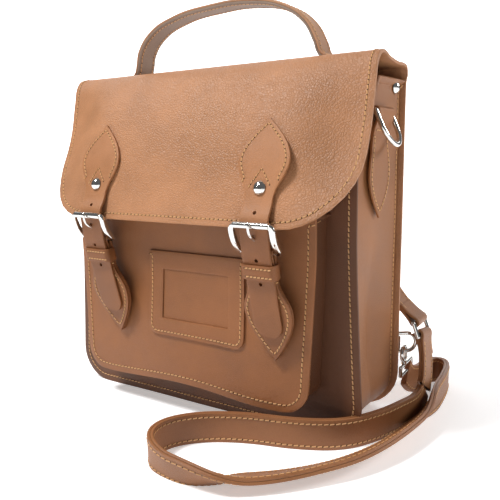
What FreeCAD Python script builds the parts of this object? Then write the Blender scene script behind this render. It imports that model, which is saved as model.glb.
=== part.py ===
"""Convertible leather satchel: flap bag with two buckled closures, carried by a handle or a strap.

Frame: +X to the right of someone facing the front, front towards -Y, +Z up, millimetres.
The bag stands on the plane z = 0 and the outer face of its back panel is y = 0.
"""
import FreeCAD, Part
import math
import os

V = FreeCAD.Vector
os.makedirs("parts", exist_ok=True)

# ---- driving dimensions (mm) ----
HIDE = 2.4                      # bridle leather of the panels
GUSSET_HIDE = 2.0               # softer leather of the gussets
BACK_W = 300.0
BACK_TOP = 279.0                # top edge of the back panel, just under the flap's fold
BACK_CORNER = 34.0
FRONT_W = 286.0
FRONT_TOP = 221.0
FRONT_CORNER = 30.0
BODY_DEPTH = 80.0               # back face to the face of the main front panel
POCKET_W = 236.0
POCKET_BASE = 27.0
POCKET_TOP = 176.0
POCKET_CORNER = 18.0
POCKET_DEPTH = 21.0
SEAM = 4.0                      # the gusset sits this far inside the panel's raw edge
FOLD_Y, FOLD_Z = -5.1, 284.0    # axis of the flap's fold
FLAP_W = 302.0
FLAP_BOTTOM = 169.0
FLAP_CORNER = 54.0
CLOSURE_X = 82.0                # each closure strap stands this far from the middle
STRAP_W = 24.0
STRAP_HIDE = 2.2
TAB_HIDE = 4.4                  # two layers sewn together
BAR_Y, BAR_Z = -116.0, 150.0    # hinge bar of each closure buckle
TAB_SLOPE = math.radians(6.2)   # the closure tab leans back towards the pocket
SIDE_TAB_Y = -42.0
SIDE_RING_Z = 251.0
HANDLE_Y = -28.0
HANDLE_HALF = 97.0
HANDLE_RISE = 56.0
HANDLE_T = 4.0
HANDLE_W = 22.0
CARRY_T = 4.6                   # carrying strap, two layers sewn together
CARRY_W = 24.0
GAP = 0.3                       # free space between pieces that move past each other

FRONT_Y = -BODY_DEPTH
POCKET_Y = FRONT_Y - POCKET_DEPTH
WIRE = 1.5                      # radius of the hardware's wire


# ---- shape helpers ----
def box(x0, x1, y0, y1, z0, z1):
    return Part.makeBox(x1 - x0, y1 - y0, z1 - z0, V(x0, y0, z0))


def rod(radius, a, b):
    run = b.sub(a)
    return Part.makeCylinder(radius, run.Length, a, run)


def closed(points):
    """A flat face inside a closed outline of straight runs."""
    return Part.Face(Part.makePolygon(list(points) + [points[0]]))


def smooth_face(one_side, other_side):
    """A face between two smooth curves that share no points."""
    rails = []
    for side in (one_side, list(reversed(other_side))):
        curve = Part.BSplineCurve()
        curve.interpolate(side)
        rails.append(curve.toShape())
    caps = [Part.makeLine(one_side[-1], other_side[-1]), Part.makeLine(other_side[0], one_side[0])]
    return Part.Face(Part.Wire([rails[0], caps[0], rails[1], caps[1]]))


def panel(width_top, width_base, z0, z1, corner, y_back, thick):
    """A leather panel standing in XZ, its two lower corners round, facing -Y."""
    top, base = width_top / 2, width_base / 2
    face = closed([V(-base, y_back, z0), V(base, y_back, z0), V(top, y_back, z1), V(-top, y_back, z1)])
    solid = face.extrude(V(0, -thick, 0))
    low = [e for e in solid.Edges if e.BoundBox.ZMax < z0 + 0.01 and e.BoundBox.YLength > thick / 2]
    return solid.makeFillet(corner, low)


def gusset(half_back, half_front, y_back, y_front, z_base, corner, thick, top_profile):
    """A U-shaped strip under and beside a pocket: a tapering tub with its inside removed."""
    def tub(inset):
        ends = []
        for half, y in ((half_back, y_back), (half_front, y_front)):
            w, r, z = half - inset, corner - inset, z_base + inset
            k = math.sqrt(0.5)
            pts = [V(-w, y, 300), V(-w, y, z + r), V(-w + r, y, z), V(w - r, y, z), V(w, y, z + r),
                   V(w, y, 300)]
            mids = [V(-w + r - r * k, y, z + r - r * k), V(w - r + r * k, y, z + r - r * k)]
            edges = [Part.makeLine(pts[0], pts[1]), Part.Arc(pts[1], mids[0], pts[2]).toShape(),
                     Part.makeLine(pts[2], pts[3]), Part.Arc(pts[3], mids[1], pts[4]).toShape(),
                     Part.makeLine(pts[4], pts[5]), Part.makeLine(pts[5], pts[0])]
            ends.append(Part.Wire(edges))
        return Part.makeLoft(ends, True, True)
    strip = tub(0.0).cut(tub(thick))
    mask = closed([V(-200, y, z) for y, z in top_profile]).extrude(V(400, 0, 0))
    return strip.common(mask)


def leaf_face(place, half, z_tip, z_wide, z_neck, neck, z_end):
    """A leaf outline: a point at z_tip, widest at z_wide, narrowing at z_neck to a straight neck."""
    side = [(0.0, z_tip), (half * 0.62, z_tip + (z_wide - z_tip) * 0.36), (half, z_wide),
            (neck + (half - neck) * 0.72, (z_wide + z_neck) / 2), (neck, z_neck)]
    right, left = Part.BSplineCurve(), Part.BSplineCurve()
    right.interpolate([place(u, v) for u, v in side])
    left.interpolate([place(-u, v) for u, v in reversed(side)])
    corners = [place(neck, z_neck), place(neck, z_end), place(-neck, z_end), place(-neck, z_neck)]
    straight = [Part.makeLine(a, b) for a, b in zip(corners, corners[1:])]
    return Part.Face(Part.Wire([right.toShape()] + straight + [left.toShape()]))


def dome(x, y, z, radius, height, direction):
    """A rivet cap: a shallow dome standing on a surface, its axis along the given direction."""
    ball = (radius * radius + height * height) / (2 * height)
    half_angle = math.asin(min(1.0, radius / ball)) / 2
    middle = V(ball * math.sin(half_angle), 0, height - ball + ball * math.cos(half_angle))
    edges = [Part.makeLine(V(0, 0, 0), V(radius, 0, 0)),
             Part.Arc(V(radius, 0, 0), middle, V(0, 0, height)).toShape(),
             Part.makeLine(V(0, 0, height), V(0, 0, 0))]
    cap = Part.Face(Part.Wire(edges)).revolve(V(0, 0, 0), V(0, 0, 1), 360)
    cap.Placement = FreeCAD.Placement(V(x, y, z), FreeCAD.Rotation(V(0, 0, 1), V(*direction)))
    return cap


def d_ring(bar_a, bar_b, drop, wire):
    """A D-ring: a straight bar between two points and a bow that hangs away from it along `drop`."""
    across = bar_b.sub(bar_a)
    half = across.Length / 2
    middle = (bar_a + bar_b) * 0.5
    reach = V(drop).normalize()
    leg = drop.Length - half
    foot_a, foot_b = bar_a + reach * leg, bar_b + reach * leg
    bow = Part.makeTorus(half, wire, middle + reach * leg, across.cross(reach))
    far = Part.makeBox(4 * half, 4 * half, 2 * half, V(-2 * half, -2 * half, 0))
    far.Placement = FreeCAD.Placement(middle + reach * leg, FreeCAD.Rotation(V(0, 0, 1), reach))
    ring = rod(wire, bar_a, bar_b)
    for piece in (rod(wire, bar_a, foot_a), rod(wire, bar_b, foot_b), bow.common(far),
                  Part.makeSphere(wire, bar_a), Part.makeSphere(wire, bar_b)):
        ring = ring.fuse(piece)
    return ring.removeSplitter()


def ribbon(points, thick, z0, z1):
    """A strap standing on its edge: straight runs joined by tangent arcs, as wide as z0 to z1."""
    turns = []
    for i in range(1, len(points) - 1):
        before, here, after = points[i - 1], points[i], points[i + 1]
        u, w = here.sub(before), after.sub(here)
        angle = u.getAngle(w)
        radius = 0.45 * min(u.Length, w.Length) / math.tan(angle / 2)
        trim = radius * math.tan(angle / 2)
        u.normalize()
        w.normalize()
        bend = 1.0 if u.cross(w).z > 0 else -1.0
        turns.append((here - u * trim, here + w * trim, here, radius, bend))
    print("strap radii", [round(t[3]) for t in turns])
    rails = []
    for shift in (thick / 2, -thick / 2):
        def moved(point, along):
            return point + V(-along.y, along.x, 0) * shift
        rail = []
        spot = None
        for enter, leave, here, radius, bend in turns:
            u = here.sub(enter).normalize()
            w = leave.sub(here).normalize()
            if spot is None:
                start = points[0]
                rail_start = moved(start, u)
                spot = rail_start
            a, b = moved(enter, u), moved(leave, w)
            centre = enter + V(-u.y, u.x, 0) * radius * bend
            out = here.sub(centre).normalize()
            middle = centre + out * (radius - shift * bend)
            rail.append(Part.makeLine(spot, a))
            rail.append(Part.Arc(a, middle, b).toShape())
            spot = b
        last = moved(points[-1], w)
        rail.append(Part.makeLine(spot, last))
        rails.append((rail_start, rail, last))
    (a0, left, a1), (b0, right, b1) = rails
    edges = left + [Part.makeLine(a1, b1)] + right + [Part.makeLine(b0, a0)]
    face = Part.Face(Part.Wire(Part.__sortEdges__(edges)))
    face.translate(V(0, 0, z0))
    solid = face.extrude(V(0, 0, z1 - z0))
    print("strap length", round(solid.Volume / thick / (z1 - z0)))
    return solid


nodes = {}

# ---- body of the bag ----
nodes["back_panel"] = panel(BACK_W, BACK_W, 0.0, BACK_TOP, BACK_CORNER, 0.0, HIDE)
nodes["main_front_panel"] = panel(FRONT_W - 4, FRONT_W, 0.0, FRONT_TOP, FRONT_CORNER, FRONT_Y + HIDE, HIDE)
nodes["pocket_front_panel"] = panel(POCKET_W, POCKET_W, POCKET_BASE, POCKET_TOP, POCKET_CORNER,
                                    POCKET_Y + HIDE, HIDE)

GUSSET_TOP = BACK_TOP - 3.0
main_top = [(-HIDE, 0), (-HIDE, GUSSET_TOP), (-46, GUSSET_TOP), (FRONT_Y + HIDE, FRONT_TOP),
            (FRONT_Y + HIDE, 0)]
nodes["main_gusset"] = gusset(BACK_W / 2 - SEAM, FRONT_W / 2 - SEAM, -HIDE, FRONT_Y + HIDE, SEAM,
                              BACK_CORNER - SEAM, GUSSET_HIDE, main_top)
pocket_top = [(FRONT_Y, 0), (FRONT_Y, POCKET_TOP), (POCKET_Y + HIDE, POCKET_TOP), (POCKET_Y + HIDE, 0)]
nodes["pocket_gusset"] = gusset(POCKET_W / 2 - SEAM + 5, POCKET_W / 2 - SEAM, FRONT_Y, POCKET_Y + HIDE,
                                POCKET_BASE + SEAM, POCKET_CORNER - SEAM, GUSSET_HIDE, pocket_top)

# ---- label holder on the pocket ----
LABEL_W, LABEL_LOW, LABEL_HIGH, LABEL_T = 96.0, 69.0, 141.0, 1.8
LABEL_X = 12.0
WINDOW_W, WINDOW_LOW, WINDOW_HIGH = 66.0, 84.0, 126.0
frame = box(LABEL_X - LABEL_W / 2, LABEL_X + LABEL_W / 2, POCKET_Y - LABEL_T, POCKET_Y, LABEL_LOW, LABEL_HIGH)
low = [e for e in frame.Edges if e.BoundBox.ZMax < LABEL_LOW + 0.01 and e.BoundBox.YLength > 1]
frame = frame.makeFillet(9.0, low)
w0, w1 = LABEL_X - WINDOW_W / 2, LABEL_X + WINDOW_W / 2
window = box(w0, w1, POCKET_Y - 5, POCKET_Y + 1, WINDOW_LOW, WINDOW_HIGH)
nodes["label_frame"] = frame.cut(window)
nodes["label_card"] = box(w0 + 0.2, w1 - 0.2, POCKET_Y - 0.8, POCKET_Y,
                          WINDOW_LOW + 0.2, WINDOW_HIGH - 0.2)

# ---- flap: one curved sheet over the top and down the front ----
# Across the pocket it stands out further than at its free sides, which fall back towards the body.
FLAP_T = 2.6
FLAP_BOW = 105.0                # half width of the part that stands out
FLAP_TOP = [(FOLD_Y, FOLD_Z + 5.1), (-24, 289.0), (-42, 290.6)]
flap_line = FLAP_TOP + [(-56, 293.5), (-70, 288.0), (-85, 270.0), (-98, 244.0), (-107, 218.0), (-113, 196.0),
                        (-121, FLAP_BOTTOM - 1)]
side_line = FLAP_TOP + [(-54, 294.6), (-64, 286.0), (-70, 266.0), (-78, 238.0), (-92, 212.0), (-106, 189.0),
                        (-121, FLAP_BOTTOM - 1)]


def normal_at(line, i):
    a, b = line[max(i - 1, 0)], line[min(i + 1, len(line) - 1)]
    dy, dz = b[0] - a[0], b[1] - a[1]
    size = math.hypot(dy, dz)
    return dz / size, -dy / size


def offset_line(line, distance):
    """Points of the line moved outwards, away from the inside of the bag."""
    out = []
    for i, (y, z) in enumerate(line):
        ny, nz = normal_at(line, i)
        out.append((y + ny * distance, z + nz * distance))
    return out


def sheet_solid(line, inner, outer, x0, x1):
    one = [V(x0, y, z) for y, z in offset_line(line, outer)]
    two = [V(x0, y, z) for y, z in offset_line(line, inner)]
    return smooth_face(one, two).extrude(V(x1 - x0, 0, 0))


def sheet_section(line, x):
    """The flap's section at x: its outer line, and its inner line one thickness below."""
    outside = [V(x, y, z) for y, z in line]
    inside = [V(x, y, z) for y, z in offset_line(line, -FLAP_T)]
    return smooth_face(outside, inside).OuterWire


sections = [sheet_section(side_line, -FLAP_W / 2), sheet_section(flap_line, -FLAP_BOW),
            sheet_section(flap_line, FLAP_BOW), sheet_section(side_line, FLAP_W / 2)]
flap_cut = panel(FLAP_W, FLAP_W, FLAP_BOTTOM, 310.0, FLAP_CORNER, 20.0, 200.0)
nodes["flap"] = Part.makeLoft(sections, True, True).common(flap_cut)

# ---- closures: strap on the flap, buckle, tab with keeper, magnetic snap ----
down = V(0, math.sin(TAB_SLOPE), -math.cos(TAB_SLOPE))
outward = V(0, -math.cos(TAB_SLOPE), -math.sin(TAB_SLOPE))


def at(x, along, out):
    """A point of a closure, measured down its tab from the hinge bar and out from the tab's middle."""
    return V(x, BAR_Y, BAR_Z).add(down * along).add(outward * out)


def slab(x0, x1, along0, along1, out0, out1):
    face = closed([at(x0, along0, out0), at(x0, along1, out0), at(x0, along1, out1), at(x0, along0, out1)])
    return face.extrude(V(x1 - x0, 0, 0))


WALL = BACK_W / 2 - SEAM         # half width of the main gusset at the back panel
LEAN = (BACK_W - FRONT_W) / 2 / (BODY_DEPTH - 2 * HIDE)    # how far it narrows per mm towards the front
TAB_SKIN = 1.8
SIDE_WIRE = 1.9
SIDE_RING_LEAN = math.radians(24)
STUD_Y = -13.0
RIVET_SPOT, RIVET_OUT = (-116.4, 197.0), (-0.963, 0.27)
RIVET_CAP_R, RIVET_CAP_H = 5.2, 3.0
PATCH_HALF, PATCH_TIP, PATCH_WIDE, PATCH_NECK, PATCH_END = 21.5, 246.0, 215.0, 190.0, 174.0
TAB_HALF, TAB_BELLY = 20.0, 38.0
TONGUE = 53.0                   # the billet is straight this far below the hinge bar, then round
SNAP_ALONG, SNAP_R = 56.0, 8.5
BAR_R = 1.5
LOOP_R = BAR_R + 0.15
ROLLER_OUT, ROLLER_UP, ROLLER_R = 9.6, -22.0, 2.5
FRAME_HALF = 17.6               # to the middle of each cheek
CHEEK_T = 3.4
ROLLER_HALF = 14.6
PRONG_HALF = 1.3
BILLET_HALF = STRAP_W / 2
BAND_FROM, BAND_TO = 8.0, 19.0  # the keeper, down the tab from the hinge bar
BAND_LOW, BAND_HIGH = -4.6, 8.4
BAND_T = 2.0
BAND_HALF = BILLET_HALF + GAP + BAND_T
RING_TAB_HALF, RING_TAB_TIP, RING_TAB_BELLY, RING_TAB_NECK, LOOP_HALF = 17.5, 171.0, 205.0, 236.0, 13.0
SIDE_RING_HALF, SIDE_RING_REACH = 16.0, 27.0
STUD_Z, STUD_R, STUD_H = 271.0, 5.2, 3.2
TAB_LENGTH = 83.0

for side, sign in (("left", -1), ("right", 1)):
    x = sign * CLOSURE_X
    # strap: a leaf-ended patch on the flap that runs on through the buckle as a billet
    patch = sheet_solid(flap_line[4:], 0.15, STRAP_HIDE + 0.15, x - 30, x + 30)
    leaf = leaf_face(lambda u, v: V(x + u, -200, v), PATCH_HALF, PATCH_TIP, PATCH_WIDE, PATCH_NECK,
                     BILLET_HALF, PATCH_END)
    patch = patch.common(leaf.extrude(V(0, 150, 0)))
    bend = [at(x, -24.0, 4.5), at(x, -14.0, 4.5), at(x, 0.0, 4.2), at(x, 22.0, 2.5), at(x, 40.0, 2.45),
            at(x, 64.0, 2.4)]
    upper, lower = offset_line(flap_line, 1.1)[-2:]
    leave = (upper[0] + 0.4 * (lower[0] - upper[0]), upper[1] + 0.4 * (lower[1] - upper[1]))
    line = [upper, leave] + [(p.y, p.z) for p in bend]
    billet = sheet_solid(line, 0.0, STRAP_HIDE, x - BILLET_HALF, x + BILLET_HALF)
    tip = Part.makeCylinder(BILLET_HALF, 60, at(x, TONGUE, -20), outward)
    tongue_cut = slab(x - BILLET_HALF - 1, x + BILLET_HALF + 1, TONGUE, 90.0, -20, 20).cut(tip)
    billet = billet.cut(tongue_cut)
    slot = slab(x - 2.1, x + 2.1, -19.0, -1.5, 0, 12)
    nodes[f"flap_strap_{side}"] = patch.fuse(billet).cut(slot).removeSplitter()

    # tab: two layers that part round the hinge bar and close again below it
    blade = slab(x - 22, x + 22, 3.0, TAB_LENGTH, -TAB_HIDE / 2, TAB_HIDE / 2)
    z_low = BAR_Z - TAB_LENGTH + 1.5
    outline = leaf_face(lambda u, v: V(x + u, -160, v), TAB_HALF, z_low, z_low + TAB_BELLY, BAR_Z - 22,
                        BILLET_HALF, BAR_Z + 8)
    outline = outline.extrude(V(0, 80, 0))
    loop = Part.makeCylinder(LOOP_R + 2.1, STRAP_W, at(x - BILLET_HALF, 0, 0), V(1, 0, 0))
    bore = Part.makeCylinder(LOOP_R, STRAP_W + 2, at(x - BILLET_HALF - 1, 0, 0), V(1, 0, 0))
    prong_gap = slab(x - 2.2, x + 2.2, -6.0, 5.5, -6, 6)
    tab = blade.common(outline).fuse(loop).cut(bore).cut(prong_gap)
    nodes[f"closure_tab_{side}"] = tab.removeSplitter()

    # keeper: a sewn band round the tab and the billet
    band = slab(x - BAND_HALF, x + BAND_HALF, BAND_FROM, BAND_TO, BAND_LOW, BAND_HIGH)
    mouth = slab(x - BILLET_HALF - GAP, x + BILLET_HALF + GAP, BAND_FROM - 1, BAND_TO + 1,
                 BAND_LOW + BAND_T, BAND_HIGH - BAND_T)
    nodes[f"keeper_{side}"] = band.cut(mouth)

    # buckle: hinge bar, two cheeks and the top bar in one casting
    hinge_bar = rod(BAR_R, at(x - FRAME_HALF, 0, 0), at(x + FRAME_HALF, 0, 0))
    top_bar = rod(BAR_R, at(x - FRAME_HALF, ROLLER_UP, ROLLER_OUT), at(x + FRAME_HALF, ROLLER_UP, ROLLER_OUT))
    casting = hinge_bar.fuse(top_bar)
    for cheek in (x - FRAME_HALF, x + FRAME_HALF):
        bar = closed([at(cheek - CHEEK_T / 2, 2.5, 1.9), at(cheek - CHEEK_T / 2, 2.5, -1.9),
                      at(cheek - CHEEK_T / 2, ROLLER_UP - 2.4, ROLLER_OUT - 2.2),
                      at(cheek - CHEEK_T / 2, ROLLER_UP - 2.4, ROLLER_OUT + 2.2)]).extrude(V(CHEEK_T, 0, 0))
        casting = casting.fuse(bar)
    nodes[f"buckle_frame_{side}"] = casting.removeSplitter()
    roller_a, roller_b = x - ROLLER_HALF, x + ROLLER_HALF
    tube = rod(ROLLER_R, at(roller_a, ROLLER_UP, ROLLER_OUT), at(roller_b, ROLLER_UP, ROLLER_OUT))
    hole = rod(BAR_R + 0.08, at(roller_a - 1, ROLLER_UP, ROLLER_OUT), at(roller_b + 1, ROLLER_UP, ROLLER_OUT))
    nodes[f"buckle_roller_{side}"] = tube.cut(hole)

    # prong: an eye on the hinge bar, a bent needle through the billet's hole, its tip on the roller
    eye = rod(BAR_R + 1.4, at(x - 1.6, 0, 0), at(x + 1.6, 0, 0))
    rise = ((-1.2, 1.4), (-1.2, 3.0), (-8.0, 5.2), (-14.0, 11.6), (-19.0, 14.8), (-24.0, 14.8),
            (-24.0, 12.5), (-19.6, 12.5), (-16.0, 10.2), (-10.0, 3.0))
    needle = closed([at(x - PRONG_HALF, along, out) for along, out in rise]).extrude(V(2 * PRONG_HALF, 0, 0))
    eye_hole = rod(BAR_R + 0.08, at(x - 3, 0, 0), at(x + 3, 0, 0))
    nodes[f"buckle_prong_{side}"] = eye.fuse(needle).cut(eye_hole).removeSplitter()

    # cap of the rivet that holds the billet to the flap, and the two halves of the hidden snap
    rivet_y, rivet_z = RIVET_SPOT
    nodes[f"flap_rivet_{side}"] = dome(x, rivet_y, rivet_z, RIVET_CAP_R, RIVET_CAP_H, (0, *RIVET_OUT))
    back_face = at(x, SNAP_ALONG, -TAB_HIDE / 2)
    nodes[f"snap_stud_{side}"] = Part.makeCylinder(SNAP_R, 2.4, back_face, outward * -1)
    pocket_face = V(x, POCKET_Y, back_face.z)
    nodes[f"snap_socket_{side}"] = Part.makeCylinder(SNAP_R + 0.5, 2.2, pocket_face, V(0, -1, 0))

    # side tab: a leaf on the gusset whose top is a sewn tunnel round the D-ring's bar
    wall_x = WALL + LEAN * (SIDE_TAB_Y + HIDE)
    bar_x = wall_x + SIDE_WIRE + 0.15 + TAB_SKIN + 0.1
    leaf = leaf_face(lambda u, v: V(sign * 100, SIDE_TAB_Y + u, v), RING_TAB_HALF, RING_TAB_TIP,
                     RING_TAB_BELLY, RING_TAB_NECK, LOOP_HALF,
                     SIDE_RING_Z).extrude(V(sign * 80, 0, 0))
    layer = closed([V(sign * (wall_x + LEAN * u + d), SIDE_TAB_Y + u, 165.0)
                    for u, d in ((-20, 0.1), (20, 0.1), (20, 3.3), (-20, 3.3))]).extrude(V(0, 0, 100))
    ring_tunnel = rod(SIDE_WIRE + 0.15 + TAB_SKIN, V(sign * bar_x, SIDE_TAB_Y - LOOP_HALF, SIDE_RING_Z),
                 V(sign * bar_x, SIDE_TAB_Y + LOOP_HALF, SIDE_RING_Z))
    ring_bore = rod(SIDE_WIRE + 0.15, V(sign * bar_x, SIDE_TAB_Y - 20, SIDE_RING_Z),
               V(sign * bar_x, SIDE_TAB_Y + 20, SIDE_RING_Z))
    behind_wall = closed([V(sign * (wall_x + LEAN * u + d), SIDE_TAB_Y + u, 150.0)
                          for u, d in ((-30, 0.1), (30, 0.1), (30, -20), (-30, -20))]).extrude(V(0, 0, 130))
    side_tab = leaf.common(layer).fuse(ring_tunnel).cut(ring_bore).cut(behind_wall)
    nodes[f"side_tab_{side}"] = side_tab.removeSplitter()
    bar = V(sign * bar_x, SIDE_TAB_Y, SIDE_RING_Z)
    reach = V(sign * math.sin(SIDE_RING_LEAN), 0, -math.cos(SIDE_RING_LEAN)) * SIDE_RING_REACH
    ring_half = V(0, SIDE_RING_HALF, 0)
    nodes[f"side_ring_{side}"] = d_ring(bar - ring_half, bar + ring_half, reach, SIDE_WIRE)

    # cap of the rivet at the gusset's top corner
    stud_x = WALL + LEAN * (STUD_Y + HIDE)
    nodes[f"gusset_stud_{side}"] = dome(sign * (stud_x + 0.5), STUD_Y, STUD_Z, STUD_R, STUD_H, (sign, 0, 0))

# ---- handle: a double strap whose flat feet are riveted to the top of the flap ----
FOOT_LOW = 291.3
FOOT_TOP = FOOT_LOW + HANDLE_T
TIP_Z = FOOT_TOP + GAP + HANDLE_W / 2     # axis about which the arch tips, where its legs bend


def handle_line(rise, spread):
    """The arch seen from the front: nearly half an ellipse, with steep legs."""
    turns = [math.pi * i / 12 for i in range(13)]
    return [V(-spread * math.cos(a), 0, FOOT_TOP - 2 + rise * math.sin(a) ** 0.8) for a in turns]


arch_top = handle_line(HANDLE_RISE, HANDLE_HALF + HANDLE_T / 2)
arch_under = handle_line(HANDLE_RISE - HANDLE_T, HANDLE_HALF - HANDLE_T / 2)
arch = smooth_face(arch_top, arch_under).extrude(V(0, HANDLE_W, 0))
arch.translate(V(0, HANDLE_Y - HANDLE_W / 2, 0))
above = box(-150, 150, -100, 50, TIP_Z, 400)
round_feet = Part.makeCylinder(HANDLE_W / 2, 300, V(-150, HANDLE_Y, TIP_Z), V(1, 0, 0))
nodes["handle"] = arch.common(above.fuse(round_feet))
for side, sign in (("left", -1), ("right", 1)):
    a, b = sorted((sign * (HANDLE_HALF - 8), sign * (HANDLE_HALF + 27)))
    nodes[f"handle_foot_{side}"] = box(a, b, HANDLE_Y - HANDLE_W / 2, HANDLE_Y + HANDLE_W / 2,
                                       FOOT_LOW, FOOT_TOP)
    nodes[f"handle_rivet_{side}"] = dome(sign * (HANDLE_HALF + 16), HANDLE_Y, FOOT_TOP, 4.8, 2.6, (0, 0, 1))

# ---- back of the bag: anchor with its ring, and the bottom corners with rings and snap hooks ----
RING_R, RING_WIRE = 22.0, 2.0
RING_Y, RING_Z = 6.0, 226.0
ANCHOR_LOW, ANCHOR_HIGH = RING_Z + RING_R, RING_Z + RING_R + 26
ANCHOR_HALF, ANCHOR_LOOP_HALF = 18.0, 9.0
PROUD, TAB_FACE = 0.1, 3.3      # a riveted tab's two faces, measured from the back panel
CAP_R, CAP_H = 4.0, 2.0
anchor = box(-ANCHOR_HALF, ANCHOR_HALF, PROUD, TAB_FACE, ANCHOR_LOW + 3, ANCHOR_HIGH)
anchor = anchor.makeFillet(8.0, [e for e in anchor.Edges
                                 if e.BoundBox.ZMin > ANCHOR_HIGH - 0.01 and e.BoundBox.YLength > 1])
anchor_half = V(ANCHOR_LOOP_HALF, 0, 0)
anchor_bar = V(0, RING_Y, ANCHOR_LOW)
anchor_loop = rod(RING_Y - 0.2, anchor_bar - anchor_half, anchor_bar + anchor_half)
anchor_neck = box(-ANCHOR_LOOP_HALF, ANCHOR_LOOP_HALF, PROUD, TAB_FACE, ANCHOR_LOW - 2, ANCHOR_LOW + 6)
anchor_bore = rod(4.1, V(-12, RING_Y, ANCHOR_LOW - 0.6), V(12, RING_Y, ANCHOR_LOW - 0.6))
behind_hide = box(-200, 200, -9, PROUD, 20, 280)
anchor = anchor.fuse(anchor_neck).fuse(anchor_loop)
nodes["back_anchor"] = anchor.cut(anchor_bore).cut(behind_hide).removeSplitter()
nodes["back_ring"] = Part.makeTorus(RING_R, RING_WIRE, V(0, RING_Y, RING_Z), V(0, 1, 0))
caps = [dome(cap_x, TAB_FACE + 0.05, ANCHOR_HIGH - 9, CAP_R, CAP_H, (0, 1, 0)) for cap_x in (-9.0, 9.0)]
nodes["anchor_rivets"] = Part.makeCompound(caps)

CORNER_X, CORNER_Y, CORNER_Z = 145.5, 5.4, 58.0
HOOK_X, HOOK_Y, HOOK_R, HOOK_WIRE = 151.6, 10.0, 6.4, 1.7
CORNER_HALF = 8.0
CORNER_TAB_X, CORNER_TAB_HALF, CORNER_LOOP_HALF = 116.0, 11.0, 5.6
SHANK = 4.0
CORNER_REACH = V(14.0, 10.5, 0)
EYE_HALF, EYE_DROP, EYE_SHIFT = 14.5, 8.0, 6.0
for side, sign in (("left", -1), ("right", 1)):
    a, b = sorted((sign * CORNER_TAB_X, sign * (CORNER_X - 3)))
    tab = box(a, b, PROUD, TAB_FACE, CORNER_Z - CORNER_TAB_HALF, CORNER_Z + CORNER_TAB_HALF)
    corner_loop = rod(3.9, V(sign * CORNER_X, CORNER_Y, CORNER_Z - CORNER_LOOP_HALF),
                      V(sign * CORNER_X, CORNER_Y, CORNER_Z + CORNER_LOOP_HALF))
    corner_bore = rod(HOOK_WIRE + 0.2, V(sign * CORNER_X, CORNER_Y, CORNER_Z - 20),
                      V(sign * CORNER_X, CORNER_Y, CORNER_Z + 20))
    tab = tab.fuse(corner_loop).cut(corner_bore).cut(behind_hide)
    nodes[f"corner_tab_{side}"] = tab.removeSplitter()
    nodes[f"corner_rivet_{side}"] = dome(sign * (CORNER_TAB_X + CORNER_TAB_HALF), TAB_FACE + 0.05, CORNER_Z,
                                         CAP_R, CAP_H, (0, 1, 0))
    bar = V(sign * CORNER_X, CORNER_Y, CORNER_Z)
    nodes[f"corner_ring_{side}"] = d_ring(bar - V(0, 0, CORNER_HALF), bar + V(0, 0, CORNER_HALF),
                                          V(sign * CORNER_REACH.x, CORNER_REACH.y, 0), HOOK_WIRE)

    # snap hook: a hook that closes on the ring's leg, with a fixed eye for the strap and a sprung gate
    way = -sign                       # the right hook hangs down, the left one points up
    leg_z = CORNER_Z + way * CORNER_HALF
    centre = V(sign * HOOK_X, HOOK_Y, leg_z + way * 2.4)
    hook = Part.makeTorus(HOOK_R, HOOK_WIRE, centre, V(1, 0, 0))
    mouth = box(centre.x - 5, centre.x + 5, centre.y + 3.0, centre.y + 12, centre.z - 4.0, centre.z + 4.0)
    shank_a = centre + V(0, 0, way * HOOK_R)
    shank_b = centre + V(0, 0, way * (HOOK_R + SHANK))
    lift, wide = V(0, 0, way * EYE_DROP), V(0, EYE_HALF, 0)
    middle = shank_b + V(0, EYE_SHIFT, 0)
    eye_corners = [middle - wide, middle + wide, middle + wide + lift, middle - wide + lift]
    hook = hook.cut(mouth).fuse(rod(2.4, shank_a, shank_b))
    for a, b in zip(eye_corners, eye_corners[1:] + eye_corners[:1]):
        hook = hook.fuse(rod(HOOK_WIRE, a, b)).fuse(Part.makeSphere(HOOK_WIRE, b))
    nodes[f"hook_{side}"] = hook.removeSplitter()
    gate_y = centre.y + math.sqrt(HOOK_R ** 2 - 4.0 ** 2)
    nodes[f"hook_gate_{side}"] = rod(1.4, V(centre.x, gate_y, centre.z - 3.8),
                                     V(centre.x, gate_y, centre.z + 3.8))

# ---- carrying strap: top ring, link ring behind the right edge, loop on the floor, corner hook ----
LINK_X, LINK_Y, LINK_Z = 163.5, 17.0, 72.0
LINK_HALF = 14.5
LINK_RISE = 6.0                 # from the link's middle to each of its bars
tilt = V(math.sin(math.radians(20)), 0, -math.cos(math.radians(20)))
link_top = V(LINK_X, LINK_Y, LINK_Z) - tilt * LINK_RISE
link_low = V(LINK_X, LINK_Y, LINK_Z) + tilt * LINK_RISE
link_reach = V(0, LINK_HALF, 0)
link_corners = [link_top - link_reach, link_top + link_reach, link_low + link_reach, link_low - link_reach]
link = Part.makeSphere(HOOK_WIRE, link_corners[-1])
for a, b in zip(link_corners, link_corners[1:] + link_corners[:1]):
    link = link.fuse(rod(HOOK_WIRE, a, b)).fuse(Part.makeSphere(HOOK_WIRE, b))
nodes["strap_link"] = link.removeSplitter()


def across_y(points, thick, y0, y1):
    """A strap whose route lies in XZ and whose width runs from y0 to y1."""
    flat = ribbon([V(x, z, 0) for x, z in points], thick, 0.0, y1 - y0)
    flat.rotate(V(0, 0, 0), V(1, 0, 0), 90)
    flat.translate(V(0, y1, 0))
    return flat


def on_bar(strap, bar_a, bar_b, wire):
    """The strap's end folded round a bar: the strap, and a sleeve open on the bar."""
    sleeve = rod(wire + 0.2 + 2.3, bar_a, bar_b)
    along = bar_b.sub(bar_a).normalize()
    return strap.fuse(sleeve).cut(rod(wire + 0.2, bar_a - along * 3, bar_b + along * 3)).removeSplitter()


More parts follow.
